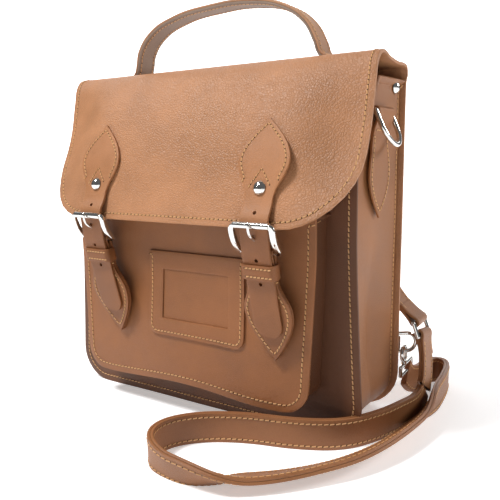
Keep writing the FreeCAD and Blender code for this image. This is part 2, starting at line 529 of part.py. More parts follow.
CARRY_HALF = CARRY_W / 2
ACROSS = V(0, CARRY_HALF, 0)
right_route = [(24, 212), (66, 182), (112, 138), (146, 92), (link_top.x, link_top.z + 3)]
strap = across_y(right_route, CARRY_T, LINK_Y - CARRY_HALF, LINK_Y + CARRY_HALF)
nodes["strap_back_right"] = on_bar(strap, link_top - ACROSS, link_top + ACROSS, HOOK_WIRE)
eye_rise = CORNER_HALF + 2.4 + HOOK_R + SHANK + EYE_DROP
eye_y = HOOK_Y + EYE_SHIFT
left_route = [(-24, 212), (-64, 186), (-108, 148), (-138, 116), (-HOOK_X, CORNER_Z + eye_rise + 3)]
strap = across_y(left_route, CARRY_T, eye_y - CARRY_HALF, eye_y + CARRY_HALF)
eye = V(-HOOK_X, eye_y, CORNER_Z + eye_rise)
nodes["strap_back_left"] = on_bar(strap, eye - ACROSS, eye + ACROSS, HOOK_WIRE)

loop_route = [V(x, y, 0) for x, y in (
    (171, 4.9), (171, -12), (165, -35), (157, -60), (139, -91), (106, -108), (70, -117), (38, -134),
    (20, -158), (25, -182), (50, -193), (80, -189), (106, -170), (130, -147), (158, -112), (176, -62),
    (180, 0), (178, 50), (173, 78), (161, 83), (154, 68), (154, 42))]
nodes["strap_loop"] = ribbon(loop_route, CARRY_T, 0.0, CARRY_W)


def elbow(low_face, high_face):
    """A plain stretch of strap between two of its cross-sections."""
    wires = [Part.makePolygon(face + [face[0]]) for face in (low_face, high_face)]
    return Part.makeLoft(wires, True, True)


def cross_end(x, y):
    t = CARRY_T / 2
    return [V(x - t, y, 0), V(x + t, y, 0), V(x + t, y, CARRY_W), V(x - t, y, CARRY_W)]


def cross_top(x, y, z):
    t = CARRY_T / 2
    return [V(x + dx, y + dy, z) for dx, dy in ((-t, -CARRY_HALF), (t, -CARRY_HALF), (t, CARRY_HALF),
                                                (-t, CARRY_HALF))]


drop = elbow(cross_end(171, 5.0), cross_top(link_low.x, LINK_Y, link_low.z - 3))
nodes["strap_end_front"] = on_bar(drop, link_low - ACROSS, link_low + ACROSS, HOOK_WIRE)
eye = V(HOOK_X, eye_y, CORNER_Z - eye_rise)
rise = elbow(cross_end(154, 41.9), cross_top(HOOK_X, eye_y, eye.z - 3))
nodes["strap_end_back"] = on_bar(rise, eye - ACROSS, eye + ACROSS, HOOK_WIRE)

for name, shape in nodes.items():
    shape.exportStep(f"parts/{name}.step")
    print(name, len(shape.Solids), round(shape.Volume), shape.isValid())
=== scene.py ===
import math
import bpy
from mathutils import Matrix, Vector, noise


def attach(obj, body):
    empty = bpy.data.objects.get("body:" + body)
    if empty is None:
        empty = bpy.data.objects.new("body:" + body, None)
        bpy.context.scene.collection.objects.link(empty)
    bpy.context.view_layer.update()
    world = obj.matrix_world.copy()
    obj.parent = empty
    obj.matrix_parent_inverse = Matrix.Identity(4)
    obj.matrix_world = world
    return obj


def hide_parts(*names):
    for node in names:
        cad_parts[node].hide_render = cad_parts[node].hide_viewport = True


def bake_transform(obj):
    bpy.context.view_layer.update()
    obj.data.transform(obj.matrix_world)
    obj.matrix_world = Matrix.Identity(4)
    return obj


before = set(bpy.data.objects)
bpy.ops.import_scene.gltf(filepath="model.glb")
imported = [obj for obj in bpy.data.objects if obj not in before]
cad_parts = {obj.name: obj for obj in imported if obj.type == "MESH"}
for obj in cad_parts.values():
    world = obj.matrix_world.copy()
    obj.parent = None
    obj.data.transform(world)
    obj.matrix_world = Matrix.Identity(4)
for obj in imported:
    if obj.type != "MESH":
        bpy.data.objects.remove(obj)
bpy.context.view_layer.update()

MM = 0.001

# ---- Stage, light and camera ----
# A pale paper sweep under and behind the bag, one big softbox high on the left and a weaker one on the
# right, as for a catalogue picture. None of it is part of the bag.
bpy.context.scene.view_settings.view_transform = "Standard"
bpy.ops.object.select_all(action="DESELECT")
bpy.ops.mesh.primitive_plane_add(size=10, location=(0, 0, 0))
sweep = bpy.context.object
sweep.name = "paper_sweep"
paper = bpy.data.materials.new("sweep_paper")
paper.use_nodes = True
shader = paper.node_tree.nodes["Principled BSDF"]
shader.inputs["Base Color"].default_value = (0.93, 0.93, 0.935, 1)
shader.inputs["Roughness"].default_value = 0.8
shader.inputs["Emission Color"].default_value = (1, 1, 1, 1)
shader.inputs["Emission Strength"].default_value = 0.4
sweep.data.materials.append(paper)
bpy.ops.object.select_all(action="DESELECT")
bpy.ops.mesh.primitive_plane_add(size=1, rotation=(math.pi / 2, 0, math.radians(32)), location=(-0.95, 1.5, 0.75))
backdrop = bpy.context.object
backdrop.name = "white_backdrop"
backdrop.scale = (3.0, 1.9, 1)
lit = paper.copy()
lit.name = "lit_backdrop"
lit.node_tree.nodes["Principled BSDF"].inputs["Emission Strength"].default_value = 0.95
backdrop.data.materials.append(lit)

world = bpy.data.worlds.new("studio")
world.use_nodes = True
world.node_tree.nodes["Background"].inputs["Color"].default_value = (1, 1, 1, 1)
world.node_tree.nodes["Background"].inputs["Strength"].default_value = 0.13
bpy.context.scene.world = world

AIM = Vector((0.0, -0.05, 0.15))
for name, place, size, watts in (
    ("key_softbox", (-0.75, -0.95, 2.05), 0.5, 58),
    ("side_softbox", (1.45, 0.95, 1.0), 0.6, 20),
):
    bpy.ops.object.light_add(type="AREA", location=place)
    lamp = bpy.context.object
    lamp.name = name
    lamp.data.size = size
    lamp.data.energy = watts
    lamp.rotation_euler = (AIM - Vector(place)).to_track_quat("-Z", "Y").to_euler()

black = bpy.data.materials.new("black_card")
black.use_nodes = True
black.node_tree.nodes["Principled BSDF"].inputs["Base Color"].default_value = (0.01, 0.01, 0.01, 1)
for name, place, facing in (("card_front", (0.5, -1.9, 0.35), 0), ("card_left", (-1.9, -0.5, 0.35), -90)):
    bpy.ops.object.select_all(action="DESELECT")
    bpy.ops.mesh.primitive_plane_add(size=1, rotation=(math.pi / 2, 0, math.radians(facing)), location=place)
    card = bpy.context.object
    card.name = name
    card.scale = (1.3, 0.5, 1)
    card.data.materials.append(black)

CAMERA_TURN, CAMERA_PITCH, CAMERA_ROLL = math.radians(32.2), math.radians(-9.3), math.radians(-0.7)
bpy.ops.object.camera_add(location=(0.301, -0.477, 0.221))
camera = bpy.context.object
turn = Matrix.Rotation(CAMERA_TURN, 3, "Z") @ Matrix.Rotation(math.pi / 2 + CAMERA_PITCH, 3, "X")
camera.rotation_euler = (turn @ Matrix.Rotation(CAMERA_ROLL, 3, "Z")).to_euler()
camera.data.lens = 42.4
camera.data.sensor_width = 36
camera.data.clip_start = 0.01
bpy.context.scene.camera = camera

# ---- Back panel and flap: one hide ----
# The bag hangs from a single piece of pebbled bridle leather. It is the back panel, folds over the
# top of the bag, makes a ridge at its front edge and hangs down as the flap. Cut flat, edges left raw.


def pick(piece):
    """Makes this piece the only one selected, and active."""
    bpy.ops.object.select_all(action="DESELECT")
    piece.select_set(True)
    bpy.context.view_layer.objects.active = piece


def select_where(piece, wanted):
    """Selects the vertices whose place passes the test, and stays in edit mode."""
    pick(piece)
    bpy.ops.object.mode_set(mode="EDIT")
    bpy.ops.mesh.select_mode(type="VERT")
    bpy.ops.mesh.select_all(action="DESELECT")
    bpy.ops.object.mode_set(mode="OBJECT")
    for v in piece.data.vertices:
        v.select = wanted(v.co)
    bpy.ops.object.mode_set(mode="EDIT")


def blank(name, rows, columns):
    """A flat blank of hide, its length along X: rows of (distance, half width), each drawn out from the last."""
    (x0, half0), (x1, half1) = rows[:2]
    bpy.ops.object.select_all(action="DESELECT")
    bpy.ops.mesh.primitive_grid_add(x_subdivisions=1, y_subdivisions=columns, size=2)
    piece = bpy.context.object
    piece.name = name
    for v in piece.data.vertices:
        far = v.co.x > 0
        v.co = (x1 if far else x0, v.co.y * (half1 if far else half0), 0)
    select_where(piece, lambda co: abs(co.x - x1) < 1e-6)
    for (x_before, half_before), (x, half) in zip(rows[1:], rows[2:]):
        bpy.ops.mesh.extrude_region_move(TRANSFORM_OT_translate={"value": (x - x_before, 0, 0)})
        bpy.ops.transform.resize(value=(1, half / half_before, 1), center_override=(x, 0, 0))
    bpy.ops.mesh.select_all(action="SELECT")
    bpy.ops.mesh.normals_make_consistent(inside=False)
    bpy.ops.object.mode_set(mode="OBJECT")
    if sum(f.normal.z * f.area for f in piece.data.polygons) < 0:
        bpy.ops.object.mode_set(mode="EDIT")
        bpy.ops.mesh.flip_normals()
        bpy.ops.object.mode_set(mode="OBJECT")
    return piece


def rows_between(start, stop, step):
    """Even distances from start to stop, both included."""
    count = max(1, round((stop - start) / step))
    return [start + (stop - start) * i / count for i in range(count + 1)]


def round_end(half, radius, x, way, steps=8):
    """Rows of a blank's end with round corners. It starts at x and goes on in +X (way 1) or ends there (way -1)."""
    turns = [math.pi / 2 * i / steps for i in range(steps + 1)]
    rows = [(x + way * radius * (1 - math.cos(a)), half - radius + radius * math.sin(a)) for a in turns]
    return rows[::way]


def thicken(piece, thick, round_edge, outward=False):
    """Gives the sheet its thickness below its face, then eases its cut edges."""
    pick(piece)
    wall = piece.modifiers.new("wall", "SOLIDIFY")
    wall.thickness = thick
    wall.offset = 1 if outward else -1
    wall.use_even_offset = True
    wall.use_rim = True
    wall.material_offset = 2
    wall.material_offset_rim = 1
    bpy.ops.object.modifier_apply(modifier="wall")
    ease = piece.modifiers.new("ease", "BEVEL")
    ease.width = round_edge
    ease.segments = 2
    ease.limit_method = "ANGLE"
    ease.angle_limit = math.radians(50)
    ease.use_clamp_overlap = False
    bpy.ops.object.modifier_apply(modifier="ease")


def line_of(points, closed=False, kind="AUTO"):
    """A smooth line through the points, to bend pieces along."""
    data = bpy.data.curves.new("line", "CURVE")
    data.dimensions = "3D"
    data.twist_mode = "MINIMUM"
    data.resolution_u = 32
    spline = data.splines.new("BEZIER")
    spline.bezier_points.add(len(points) - 1)
    for knot, point in zip(spline.bezier_points, points):
        knot.co = point
        knot.handle_left_type = knot.handle_right_type = kind
    spline.use_cyclic_u = closed
    line = bpy.data.objects.new("line", data)
    bpy.context.scene.collection.objects.link(line)
    return line


def bend(piece, line, turned=False):
    """Bends a flat piece along the line: its X runs along it. A line that leans outwards as it rises carries
    the piece face down, so the piece is turned over first."""
    if turned:
        piece.data.transform(Matrix.Rotation(math.pi, 4, "X"))
    pick(piece)
    along = piece.modifiers.new("bend", "CURVE")
    along.object = line
    along.deform_axis = "POS_X"
    bpy.ops.object.modifier_apply(modifier="bend")


def leather(name, colour, grain=0.0016, relief=0.00022, rough=0.5):
    """Waxed full-grain hide: pebbles in two sizes, darker in the creases, with a slow drift of colour."""
    skin = bpy.data.materials.new(name)
    skin.use_nodes = True
    tree = skin.node_tree
    shader = tree.nodes["Principled BSDF"]
    place = tree.nodes.new("ShaderNodeTexCoord")

    def texture(kind, **values):
        node = tree.nodes.new(kind)
        for key, value in values.items():
            if key in node.inputs:
                node.inputs[key].default_value = value
            else:
                setattr(node, key, value)
        if kind != "ShaderNodeTexCoord":
            tree.links.new(place.outputs["Object"], node.inputs["Vector"])
        return node

    def ramp(source, low, high, at_low, at_high):
        node = tree.nodes.new("ShaderNodeMapRange")
        node.inputs["From Min"].default_value = low
        node.inputs["From Max"].default_value = high
        node.inputs["To Min"].default_value = at_low
        node.inputs["To Max"].default_value = at_high
        tree.links.new(source, node.inputs["Value"])
        return node.outputs["Result"]

    def combine(operation, a, b):
        node = tree.nodes.new("ShaderNodeMath")
        node.operation = operation
        for socket, value in zip(node.inputs, (a, b)):
            if isinstance(value, float):
                socket.default_value = value
            else:
                tree.links.new(value, socket)
        return node.outputs["Value"]

    pebbles = texture("ShaderNodeTexVoronoi", feature="DISTANCE_TO_EDGE", Scale=1 / grain, Randomness=1.0)
    fine = texture("ShaderNodeTexVoronoi", feature="DISTANCE_TO_EDGE", Scale=2.3 / grain, Randomness=1.0)
    drift = texture("ShaderNodeTexNoise", Scale=22.0, Detail=4.0, Roughness=0.6)
    pores = texture("ShaderNodeTexNoise", Scale=1600.0, Detail=2.0)
    crease = ramp(pebbles.outputs["Distance"], 0.0, 0.22, 0.0, 1.0)
    small = ramp(fine.outputs["Distance"], 0.0, 0.3, 0.0, 1.0)
    height = combine("ADD", crease, combine("MULTIPLY", small, 0.4))
    height = combine("ADD", height, combine("MULTIPLY", pores.outputs["Fac"], 0.3))
    bump = tree.nodes.new("ShaderNodeBump")
    bump.inputs["Strength"].default_value = 0.6
    bump.inputs["Distance"].default_value = relief
    tree.links.new(height, bump.inputs["Height"])
    tree.links.new(bump.outputs["Normal"], shader.inputs["Normal"])

    tone = combine("ADD", ramp(drift.outputs["Fac"], 0.3, 0.7, 0.84, 1.1), ramp(crease, 0.0, 1.0, -0.1, 0.0))
    mix = tree.nodes.new("ShaderNodeMix")
    mix.data_type = "RGBA"
    mix.inputs["A"].default_value = (0, 0, 0, 1)
    mix.inputs["B"].default_value = (*colour, 1)
    mix.clamp_factor = False
    tree.links.new(tone, mix.inputs["Factor"])
    tree.links.new(mix.outputs["Result"], shader.inputs["Base Color"])
    gloss = ramp(drift.outputs["Fac"], 0.3, 0.7, rough - 0.06, rough + 0.08)
    tree.links.new(gloss, shader.inputs["Roughness"])
    shader.inputs["Specular IOR Level"].default_value = 0.42
    return skin


def raw_edge(name, colour):
    """A cut edge: pale fibres in fine layers, sealed with a little wax."""
    edge = leather(name, colour, grain=0.0005, relief=0.00008, rough=0.62)
    return edge


FLAP_TAN = (0.45, 0.205, 0.092)
BODY_TAN = (0.29, 0.107, 0.034)
EDGE_OCHRE = (0.60, 0.29, 0.098)
FLESH = (0.20, 0.112, 0.062)
flap_skin = leather("pebbled_flap_leather", FLAP_TAN, grain=0.0021, relief=0.00034, rough=0.44)
body_skin = leather("smooth_body_leather", BODY_TAN, grain=0.0011, relief=0.00014, rough=0.46)
edge_skin = raw_edge("raw_leather_edge", EDGE_OCHRE)
flesh_skin = leather("suede_flesh_side", FLESH, grain=0.0006, relief=0.0003, rough=0.85)


def dress(piece, *skins):
    """Gives the piece its materials: face, cut edge, flesh side."""
    piece.data.materials.clear()
    for skin in skins:
        piece.data.materials.append(skin)


HIDE_T = 2.4 * MM
FLAP_HALF, BACK_HALF = 151 * MM, 150 * MM
FLAP_ROUND, BACK_ROUND = 54 * MM, 34 * MM
RIDGE_Z, FLAP_LOW = 292 * MM, 168 * MM
profile = [(-121, 168), (-113, 196), (-107, 218), (-98, 244), (-85, 270), (-70, 288), (-56, 293.5),
           (-42, 290.6), (-24, 289), (-7, 289.1), (-1.6, 287.6), (0, 284), (0, 270), (0, 140), (0, 0)]
hide_line = line_of([(0, y * MM, z * MM) for y, z in profile])
hide_length = hide_line.data.splines[0].calc_length()
FLAP_LENGTH = 0.215
rows = round_end(FLAP_HALF, FLAP_ROUND, 0, 1)
flap_rows = rows + [(x, FLAP_HALF) for x in rows_between(FLAP_ROUND, FLAP_LENGTH - 5 * MM, 4 * MM)[1:]]
back_rows = [(x, BACK_HALF) for x in rows_between(FLAP_LENGTH, hide_length - BACK_ROUND, 6 * MM)]
hide_rows = flap_rows + back_rows[:-1] + round_end(BACK_HALF, BACK_ROUND, hide_length, -1)


def sculpt(piece, move):
    """Pushes each point of the piece by what `move` says for its place."""
    for v in piece.data.vertices:
        v.co += move(v.co)


def ease_in(low, high, value):
    """0 below low, 1 above high and smooth between."""
    share = min(1.0, max(0.0, (value - low) / (high - low)))
    return share * share * (3 - 2 * share)


def fall_of_flap(co):
    """The flap's free sides fall back towards the body, its edge waves a little and the hide is never dead flat."""
    if co.y > -0.05 or co.z < FLAP_LOW - 0.02:
        return Vector((0, 0.6 * MM * noise.noise(co * 14), 0)) if co.y > -3 * MM and co.z < 0.27 else Vector()
    down = min(1.0, max(0.0, (RIDGE_Z - co.z) / (RIDGE_Z - FLAP_LOW)))
    side = ease_in(86 * MM, 152 * MM, abs(co.x))
    back = 20 * MM * math.sin(math.pi * down ** 0.9) * side
    wave = 1.5 * MM * noise.noise(Vector((co.x * 16, co.z * 22, 3.1))) * ease_in(0.1, 0.6, down)
    return Vector((0, back + wave, 0))


hide = blank("back_and_flap", hide_rows, 50)
thicken(hide, HIDE_T, 0.5 * MM)
dress(hide, flap_skin, edge_skin, flesh_skin)
bend(hide, hide_line)
sculpt(hide, fall_of_flap)
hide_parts("back_panel", "flap")
bpy.ops.object.shade_smooth_by_angle(angle=math.radians(35))
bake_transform(hide)


def along_edge(rows, inset):
    """The blank's outline moved inwards: one side up, the end, the other side back."""
    side = [Vector((x, half, 0)) for x, half in rows]
    loop = side + [Vector((p.x, -p.y, 0)) for p in reversed(side)]
    moved = []
    for i, here in enumerate(loop):
        before, after = loop[i - 1], loop[(i + 1) % len(loop)]
        run = after - before
        if run.length > 1e-6:
            moved.append(here + Vector((run.y, -run.x, 0)).normalized() * inset)
    return moved


def thread_stock(name, colour):
    """Waxed linen thread: its twist shows as fine slanting ridges."""
    stock = bpy.data.materials.new(name)
    stock.use_nodes = True
    tree = stock.node_tree
    shader = tree.nodes["Principled BSDF"]
    place = tree.nodes.new("ShaderNodeTexCoord")
    twist = tree.nodes.new("ShaderNodeTexWave")
    twist.inputs["Scale"].default_value = 900
    twist.inputs["Distortion"].default_value = 2
    tree.links.new(place.outputs["Object"], twist.inputs["Vector"])
    mix = tree.nodes.new("ShaderNodeMix")
    mix.data_type = "RGBA"
    mix.inputs["A"].default_value = (*(c * 0.6 for c in colour), 1)
    mix.inputs["B"].default_value = (*colour, 1)
    tree.links.new(twist.outputs["Fac"], mix.inputs["Factor"])
    tree.links.new(mix.outputs["Result"], shader.inputs["Base Color"])
    bump = tree.nodes.new("ShaderNodeBump")
    bump.inputs["Distance"].default_value = 0.0001
    tree.links.new(twist.outputs["Fac"], bump.inputs["Height"])
    tree.links.new(bump.outputs["Normal"], shader.inputs["Normal"])
    shader.inputs["Roughness"].default_value = 0.6
    return stock


linen = thread_stock("linen_thread", (0.85, 0.47, 0.20))
needle_hole = leather("needle_hole_shadow", (0.07, 0.03, 0.012), grain=0.001, relief=0.0001, rough=0.9)


def stitches(name, path, closed=False, pitch=4.0 * MM, high=0.0):
    """A row of saddle stitches along a flat path: one stitch and its hole, repeated to the path's length."""
    rail = line_of(path, closed, "VECTOR")
    bpy.ops.object.select_all(action="DESELECT")
    bpy.ops.mesh.primitive_circle_add(vertices=8, radius=0.75 * MM, fill_type="NGON", location=(0, 0, 0.06 * MM))
    hole = bpy.context.object
    hole.scale = (1.0, 0.8, 1)
    bpy.ops.object.transform_apply(location=True, rotation=True, scale=True)
    bpy.ops.mesh.primitive_cube_add(size=1, location=(pitch / 2, 0, 0.16 * MM), rotation=(0, 0, math.radians(9)))
    bead = bpy.context.object
    bead.scale = (pitch * 0.80, 0.95 * MM, 0.62 * MM)
    bpy.ops.object.transform_apply(location=True, rotation=True, scale=True)
    bpy.ops.object.mode_set(mode="EDIT")
    bpy.ops.mesh.select_all(action="SELECT")
    bpy.ops.mesh.bevel(offset=0.26 * MM, segments=1)
    bpy.ops.object.mode_set(mode="OBJECT")
    dress(hole, linen, needle_hole)
    hole.data.polygons[0].material_index = 1
    dress(bead, linen, needle_hole)
    hole.select_set(True)
    bpy.ops.object.join()
    row = bpy.context.object
    row.name = name
    again = row.modifiers.new("again", "ARRAY")
    again.fit_type = "FIT_CURVE"
    again.curve = rail
    again.use_relative_offset = False
    again.use_constant_offset = True
    again.constant_offset_displace = (pitch, 0, 0)
    bpy.ops.object.modifier_apply(modifier="again")
    bend(row, rail)
    bpy.data.objects.remove(rail)
    row.data.transform(Matrix.Translation((0, 0, high)))
    bpy.ops.object.shade_smooth()
    return row


hide_seam = stitches("hide_stitches", along_edge(hide_rows, 5.0 * MM), closed=True)
bend(hide_seam, hide_line)
sculpt(hide_seam, fall_of_flap)
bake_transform(hide_seam)
bpy.data.objects.remove(hide_line)

# ---- Main gusset ----
# A long strip of softer hide round the sides and the bottom, sewn to the back and to the front panel
# just inside their edges. It folds inwards along its middle below the ring tabs, where the bag closes up.
GUSSET_T = 2.0 * MM
SEAM = 4.0 * MM
BACK_TOP, FRONT_TOP, GUSSET_TOP = 279 * MM, 221 * MM, 276 * MM
BACK_Y, FRONT_Y = -2.4 * MM, -77.6 * MM
FRONT_ROUND = 30 * MM


def panel_rows(half_at, low, top, corner, count=30):
    """Rows of a panel with round lower corners, its length upwards from its base."""
    rows = round_end(half_at(low + corner), corner, low, 1)
    return rows + [(z, half_at(z)) for z in rows_between(low + corner, top, (top - low - corner) / count)[1:]]


def u_edge(rows, inset, across=0):
    """The outline of a panel moved inwards, down one side, round its base and up the other."""
    count = len(rows)
    loop = along_edge(rows, inset)
    one = [p for p in loop[:count] if p.y > 0.4 * MM][::-1]
    other = [p for p in loop[count:] if p.y < -0.4 * MM][::-1]
    base = [one[-1].lerp(other[0], i / (across + 1)) for i in range(1, across + 1)]
    return one + base + other


def front_half(z):
    """The front panel is wider towards its base, where the bag spreads as it stands."""
    return 142 * MM + 8 * MM * max(0.0, 1 - z / 0.16) ** 1.3


def gusset_strip(name, back_rows, front_rows, y_back, y_front, top_at, fold, inset, thick):
    """A strip between a back and a front outline: its length follows them, its width is the bag's depth."""
    back = u_edge(back_rows, inset, across=24)
    front = u_edge(front_rows, inset, across=24)
    count = len(back)
    strip = blank(name, [(i * 0.01, 0.01) for i in range(count)], 12)
    corner = back_rows[0][0] + 40 * MM
    for v in strip.data.vertices:
        i = round(v.co.x / 0.01)
        share = (v.co.y / 0.01 + 1) / 2
        here = back[i].lerp(front[i], share)
        y = y_back + (y_front - y_back) * share
        z = here.x
        if z > corner:
            z = corner + (z - corner) * (top_at(y) - corner) / (max(p.x for p in back) - corner)
        inward = fold(share, z) * (1 if here.y > 0 else -1)
        v.co = (here.y - inward, y, z)
    pick(strip)
    bpy.ops.object.mode_set(mode="EDIT")
    bpy.ops.mesh.select_all(action="SELECT")
    bpy.ops.mesh.normals_make_consistent(inside=False)
    bpy.ops.object.mode_set(mode="OBJECT")
    outward = [f for f in strip.data.polygons if f.center.x > 0.1 and abs(f.normal.x) > 0.8]
    if outward[0].normal.x < 0:
        strip.data.flip_normals()
    thicken(strip, thick, 0.4 * MM)
    return strip


def gusset_top(y):
    """Level at the back, then sloping down to the front panel's top."""
    share = max(0.0, (-46 * MM - y) / (-46 * MM - FRONT_Y))
    return GUSSET_TOP + (FRONT_TOP - GUSSET_TOP) * share


def gusset_fold(share, z):
    """How far the side wall folds inwards: a crease along its middle, deepest at a third of its height."""
    deep = 8 * MM * ease_in(0.172, 0.085, z) * ease_in(0.0, 0.06, z) if z < 0.172 else 0.0
    crease = (1 - abs(2 * share - 1)) ** 1.4
    return deep * crease + 0.7 * MM * noise.noise(Vector((share * 3, z * 30, 1.7))) * math.sin(math.pi * share)


gusset_skin = leather("soft_gusset_leather", (0.32, 0.128, 0.046), grain=0.0012, relief=0.00016, rough=0.42)
back_outline = panel_rows(lambda z: BACK_HALF, 0, GUSSET_TOP, BACK_ROUND)
front_outline = panel_rows(front_half, 0, GUSSET_TOP, BACK_ROUND)
main_gusset = gusset_strip("main_gusset_leather", back_outline, front_outline, BACK_Y, FRONT_Y, gusset_top,
                           gusset_fold, SEAM, GUSSET_T)
dress(main_gusset, gusset_skin, edge_skin, flesh_skin)
pick(main_gusset)
bpy.ops.object.shade_smooth_by_angle(angle=math.radians(35))
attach(main_gusset, "root")
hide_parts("main_gusset")


def lengths(path):
    """How far along the path each of its points is."""
    gone = [0.0]
    for here, after in zip(path, path[1:]):
        gone.append(gone[-1] + (after - here).length)
    return gone


def lay_along(piece, path, widths):
    """Lays a straight piece along the path: X runs along it and Y along the width given there."""
    gone = lengths(path)
    step = 0
    for v in sorted(piece.data.vertices, key=lambda v: v.co.x):
        x = min(max(v.co.x, 0.0), gone[-1])
        while step < len(gone) - 2 and gone[step + 1] < x:
            step += 1
        share = (x - gone[step]) / (gone[step + 1] - gone[step])
        here = path[step].lerp(path[step + 1], share)
        early, late = path[max(step - 1, 0)], path[min(step + 2, len(path) - 1)]
        run = (late - early).normalized()
        wide = between(widths, x)
        wide = (wide - run * wide.dot(run)).normalized()
        v.co = here + run * (v.co.x - x) + wide * v.co.y + run.cross(wide) * v.co.z


def between(keys, distance):
    """The direction between the two nearest of the keys (distance, direction)."""
    for (d0, v0), (d1, v1) in zip(keys, keys[1:]):
        if distance <= d1:
            share = ease_in(d0, d1, distance)
            return v0 * (1 - share) + v1 * share
    return keys[-1][1]


DEPTH = Vector((0, 1, 0))


def gusset_seam(name, back_rows, front_rows, y_back, y_front, share, top_at, fold, inset):
    """Stitches along a gusset, at a share of its width from the back, its whole way round."""
    back = u_edge(back_rows, inset, across=24)
    front = u_edge(front_rows, inset, across=24)
    corner = back_rows[0][0] + 40 * MM
    y = y_back + (y_front - y_back) * share
    path = []
    for one, other in zip(back, front):
        here = one.lerp(other, share)
        z = here.x
        if z > corner:
            z = corner + (z - corner) * (top_at(y) - 3 * MM - corner) / (max(p.x for p in back) - corner)
        inward = fold(share, z) * (1 if here.y > 0 else -1)
        path.append(Vector((here.y - inward, y, z)))
    row = stitches(name, [Vector((0, 0, 0)), Vector((lengths(path)[-1], 0, 0))])
    lay_along(row, path, [(0, DEPTH), (1, DEPTH)])
    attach(row, "root")
    return row


for name, share in (("gusset_stitches_back", 0.065), ("gusset_stitches_front", 0.935)):
    gusset_seam(name, back_outline, front_outline, BACK_Y, FRONT_Y, share, gusset_top, gusset_fold, SEAM)

# ---- Main front panel ----
# A smooth firm hide behind the pocket, its edges standing proud of the gusset all round. Sewn through
# its face close to the edge.
STANDING = Matrix(((0, -1, 0, 0), (0, 0, -1, 0), (1, 0, 0, 0), (0, 0, 0, 1)))


def stand(piece, y):
    """Stands a flat piece up, its face to the front at y and its length upwards."""
    piece.data.transform(Matrix.Translation((0, y, 0)) @ STANDING)


def front_sag(co):
    return Vector((0, 0.9 * MM * noise.noise(Vector((co.x * 13, co.z * 13, 5.0))), 0))


front_rows = panel_rows(front_half, 0, FRONT_TOP, FRONT_ROUND)
front = blank("main_front_leather", front_rows, 44)
thicken(front, HIDE_T, 0.5 * MM)
# Painted shade: the front panel sits in the shade behind the pocket and under the flap, so its leather is given a
# near-black brown.
shade_dark_inner_skin = leather("inner_leather_painted_shade", (0.13, 0.046, 0.016), grain=0.0011, relief=0.00014, rough=0.5)
dress(front, shade_dark_inner_skin, edge_skin, flesh_skin)
stand(front, -80 * MM)
sculpt(front, front_sag)
pick(front)
bpy.ops.object.shade_smooth_by_angle(angle=math.radians(35))
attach(front, "root")
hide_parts("main_front_panel")
front_seam = stitches("main_front_stitches", u_edge(front_rows, 6.0 * MM, across=24))
stand(front_seam, -80 * MM)
sculpt(front_seam, front_sag)
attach(front_seam, "root")

# ---- Pocket gusset and pocket front ----
# The pocket is a shallow tray sewn to the main front: a narrow gusset and a face of smooth hide. Its face
# sags forward at the bottom and its lower edge waves.
POCKET_LOW, POCKET_TOP, POCKET_ROUND = 27 * MM, 176 * MM, 20 * MM
POCKET_Y = -101 * MM


def pocket_half(z):
    return 115 * MM + 4.5 * MM * ease_in(20 * MM, 160 * MM, z)


def no_fold(share, z):
    return 0.0


def pocket_sag(co):
    """The pocket's face bellies out below its middle, and its lower edge waves."""
    low = 1 - ease_in(POCKET_LOW, 0.15, co.z)
    front = ease_in(-84 * MM, -98 * MM, co.y) if co.y > -98 * MM else 1.0
    belly = 6.0 * MM * low * math.cos(math.pi * min(1, abs(co.x) / 0.135) / 2) ** 0.6
    dent = 1.3 * MM * noise.noise(Vector((co.x * 17, co.z * 17, 9.0)))
    wave = 2.3 * MM * low ** 3 * math.cos(2 * math.pi * (co.x + 5 * MM) / 0.165)
    return Vector((0, -(belly + dent) * front, wave * front))


pocket_back = panel_rows(lambda z: pocket_half(z) + 3 * MM, POCKET_LOW, POCKET_TOP, POCKET_ROUND, 20)
pocket_rows = panel_rows(pocket_half, POCKET_LOW, POCKET_TOP, POCKET_ROUND, 20)
pocket_side = gusset_strip("pocket_gusset_leather", pocket_back, pocket_rows, -80 * MM, -98.6 * MM,
                           lambda y: POCKET_TOP, no_fold, SEAM, GUSSET_T)
# The pocket gusset takes the same near-black brown, painted shade for the recess beside the pocket.
dress(pocket_side, shade_dark_inner_skin, edge_skin, flesh_skin)
sculpt(pocket_side, pocket_sag)
pick(pocket_side)
bpy.ops.object.shade_smooth_by_angle(angle=math.radians(35))
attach(pocket_side, "root")
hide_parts("pocket_gusset")
row = gusset_seam("pocket_gusset_stitches", pocket_back, pocket_rows, -80 * MM, -98.6 * MM, 0.74,
                  lambda y: POCKET_TOP, no_fold, SEAM)
sculpt(row, pocket_sag)

pocket = blank("pocket_front_leather", pocket_rows, 44)
thicken(pocket, HIDE_T, 0.5 * MM)
dress(pocket, body_skin, edge_skin, flesh_skin)
stand(pocket, POCKET_Y)
sculpt(pocket, pocket_sag)
pick(pocket)
bpy.ops.object.shade_smooth_by_angle(angle=math.radians(35))
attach(pocket, "root")
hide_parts("pocket_front_panel")
pocket_seam = stitches("pocket_front_stitches", u_edge(pocket_rows, 6.0 * MM, across=24))
stand(pocket_seam, POCKET_Y)
sculpt(pocket_seam, pocket_sag)
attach(pocket_seam, "root")

# ---- Label holder ----
# A patch with a window, sewn to the pocket on three sides and open at its top, and the plain leather card
# that shows in the window.
LABEL_X, LABEL_HALF, LABEL_LOW, LABEL_TOP, LABEL_T = 12 * MM, 48 * MM, 69 * MM, 141 * MM, 1.8 * MM
WINDOW_HALF, WINDOW_LOW, WINDOW_TOP = 33 * MM, 84 * MM, 126 * MM


def cut_through(piece, cutter):
    """Cuts the cutter's shape out of the piece, and throws the cutter away."""
    pick(piece)
    cut = piece.modifiers.new("cut", "BOOLEAN")
    cut.operation = "DIFFERENCE"
    cut.solver = "EXACT"
    cut.object = cutter
    bpy.ops.object.modifier_apply(modifier="cut")
    bpy.data.objects.remove(cutter)


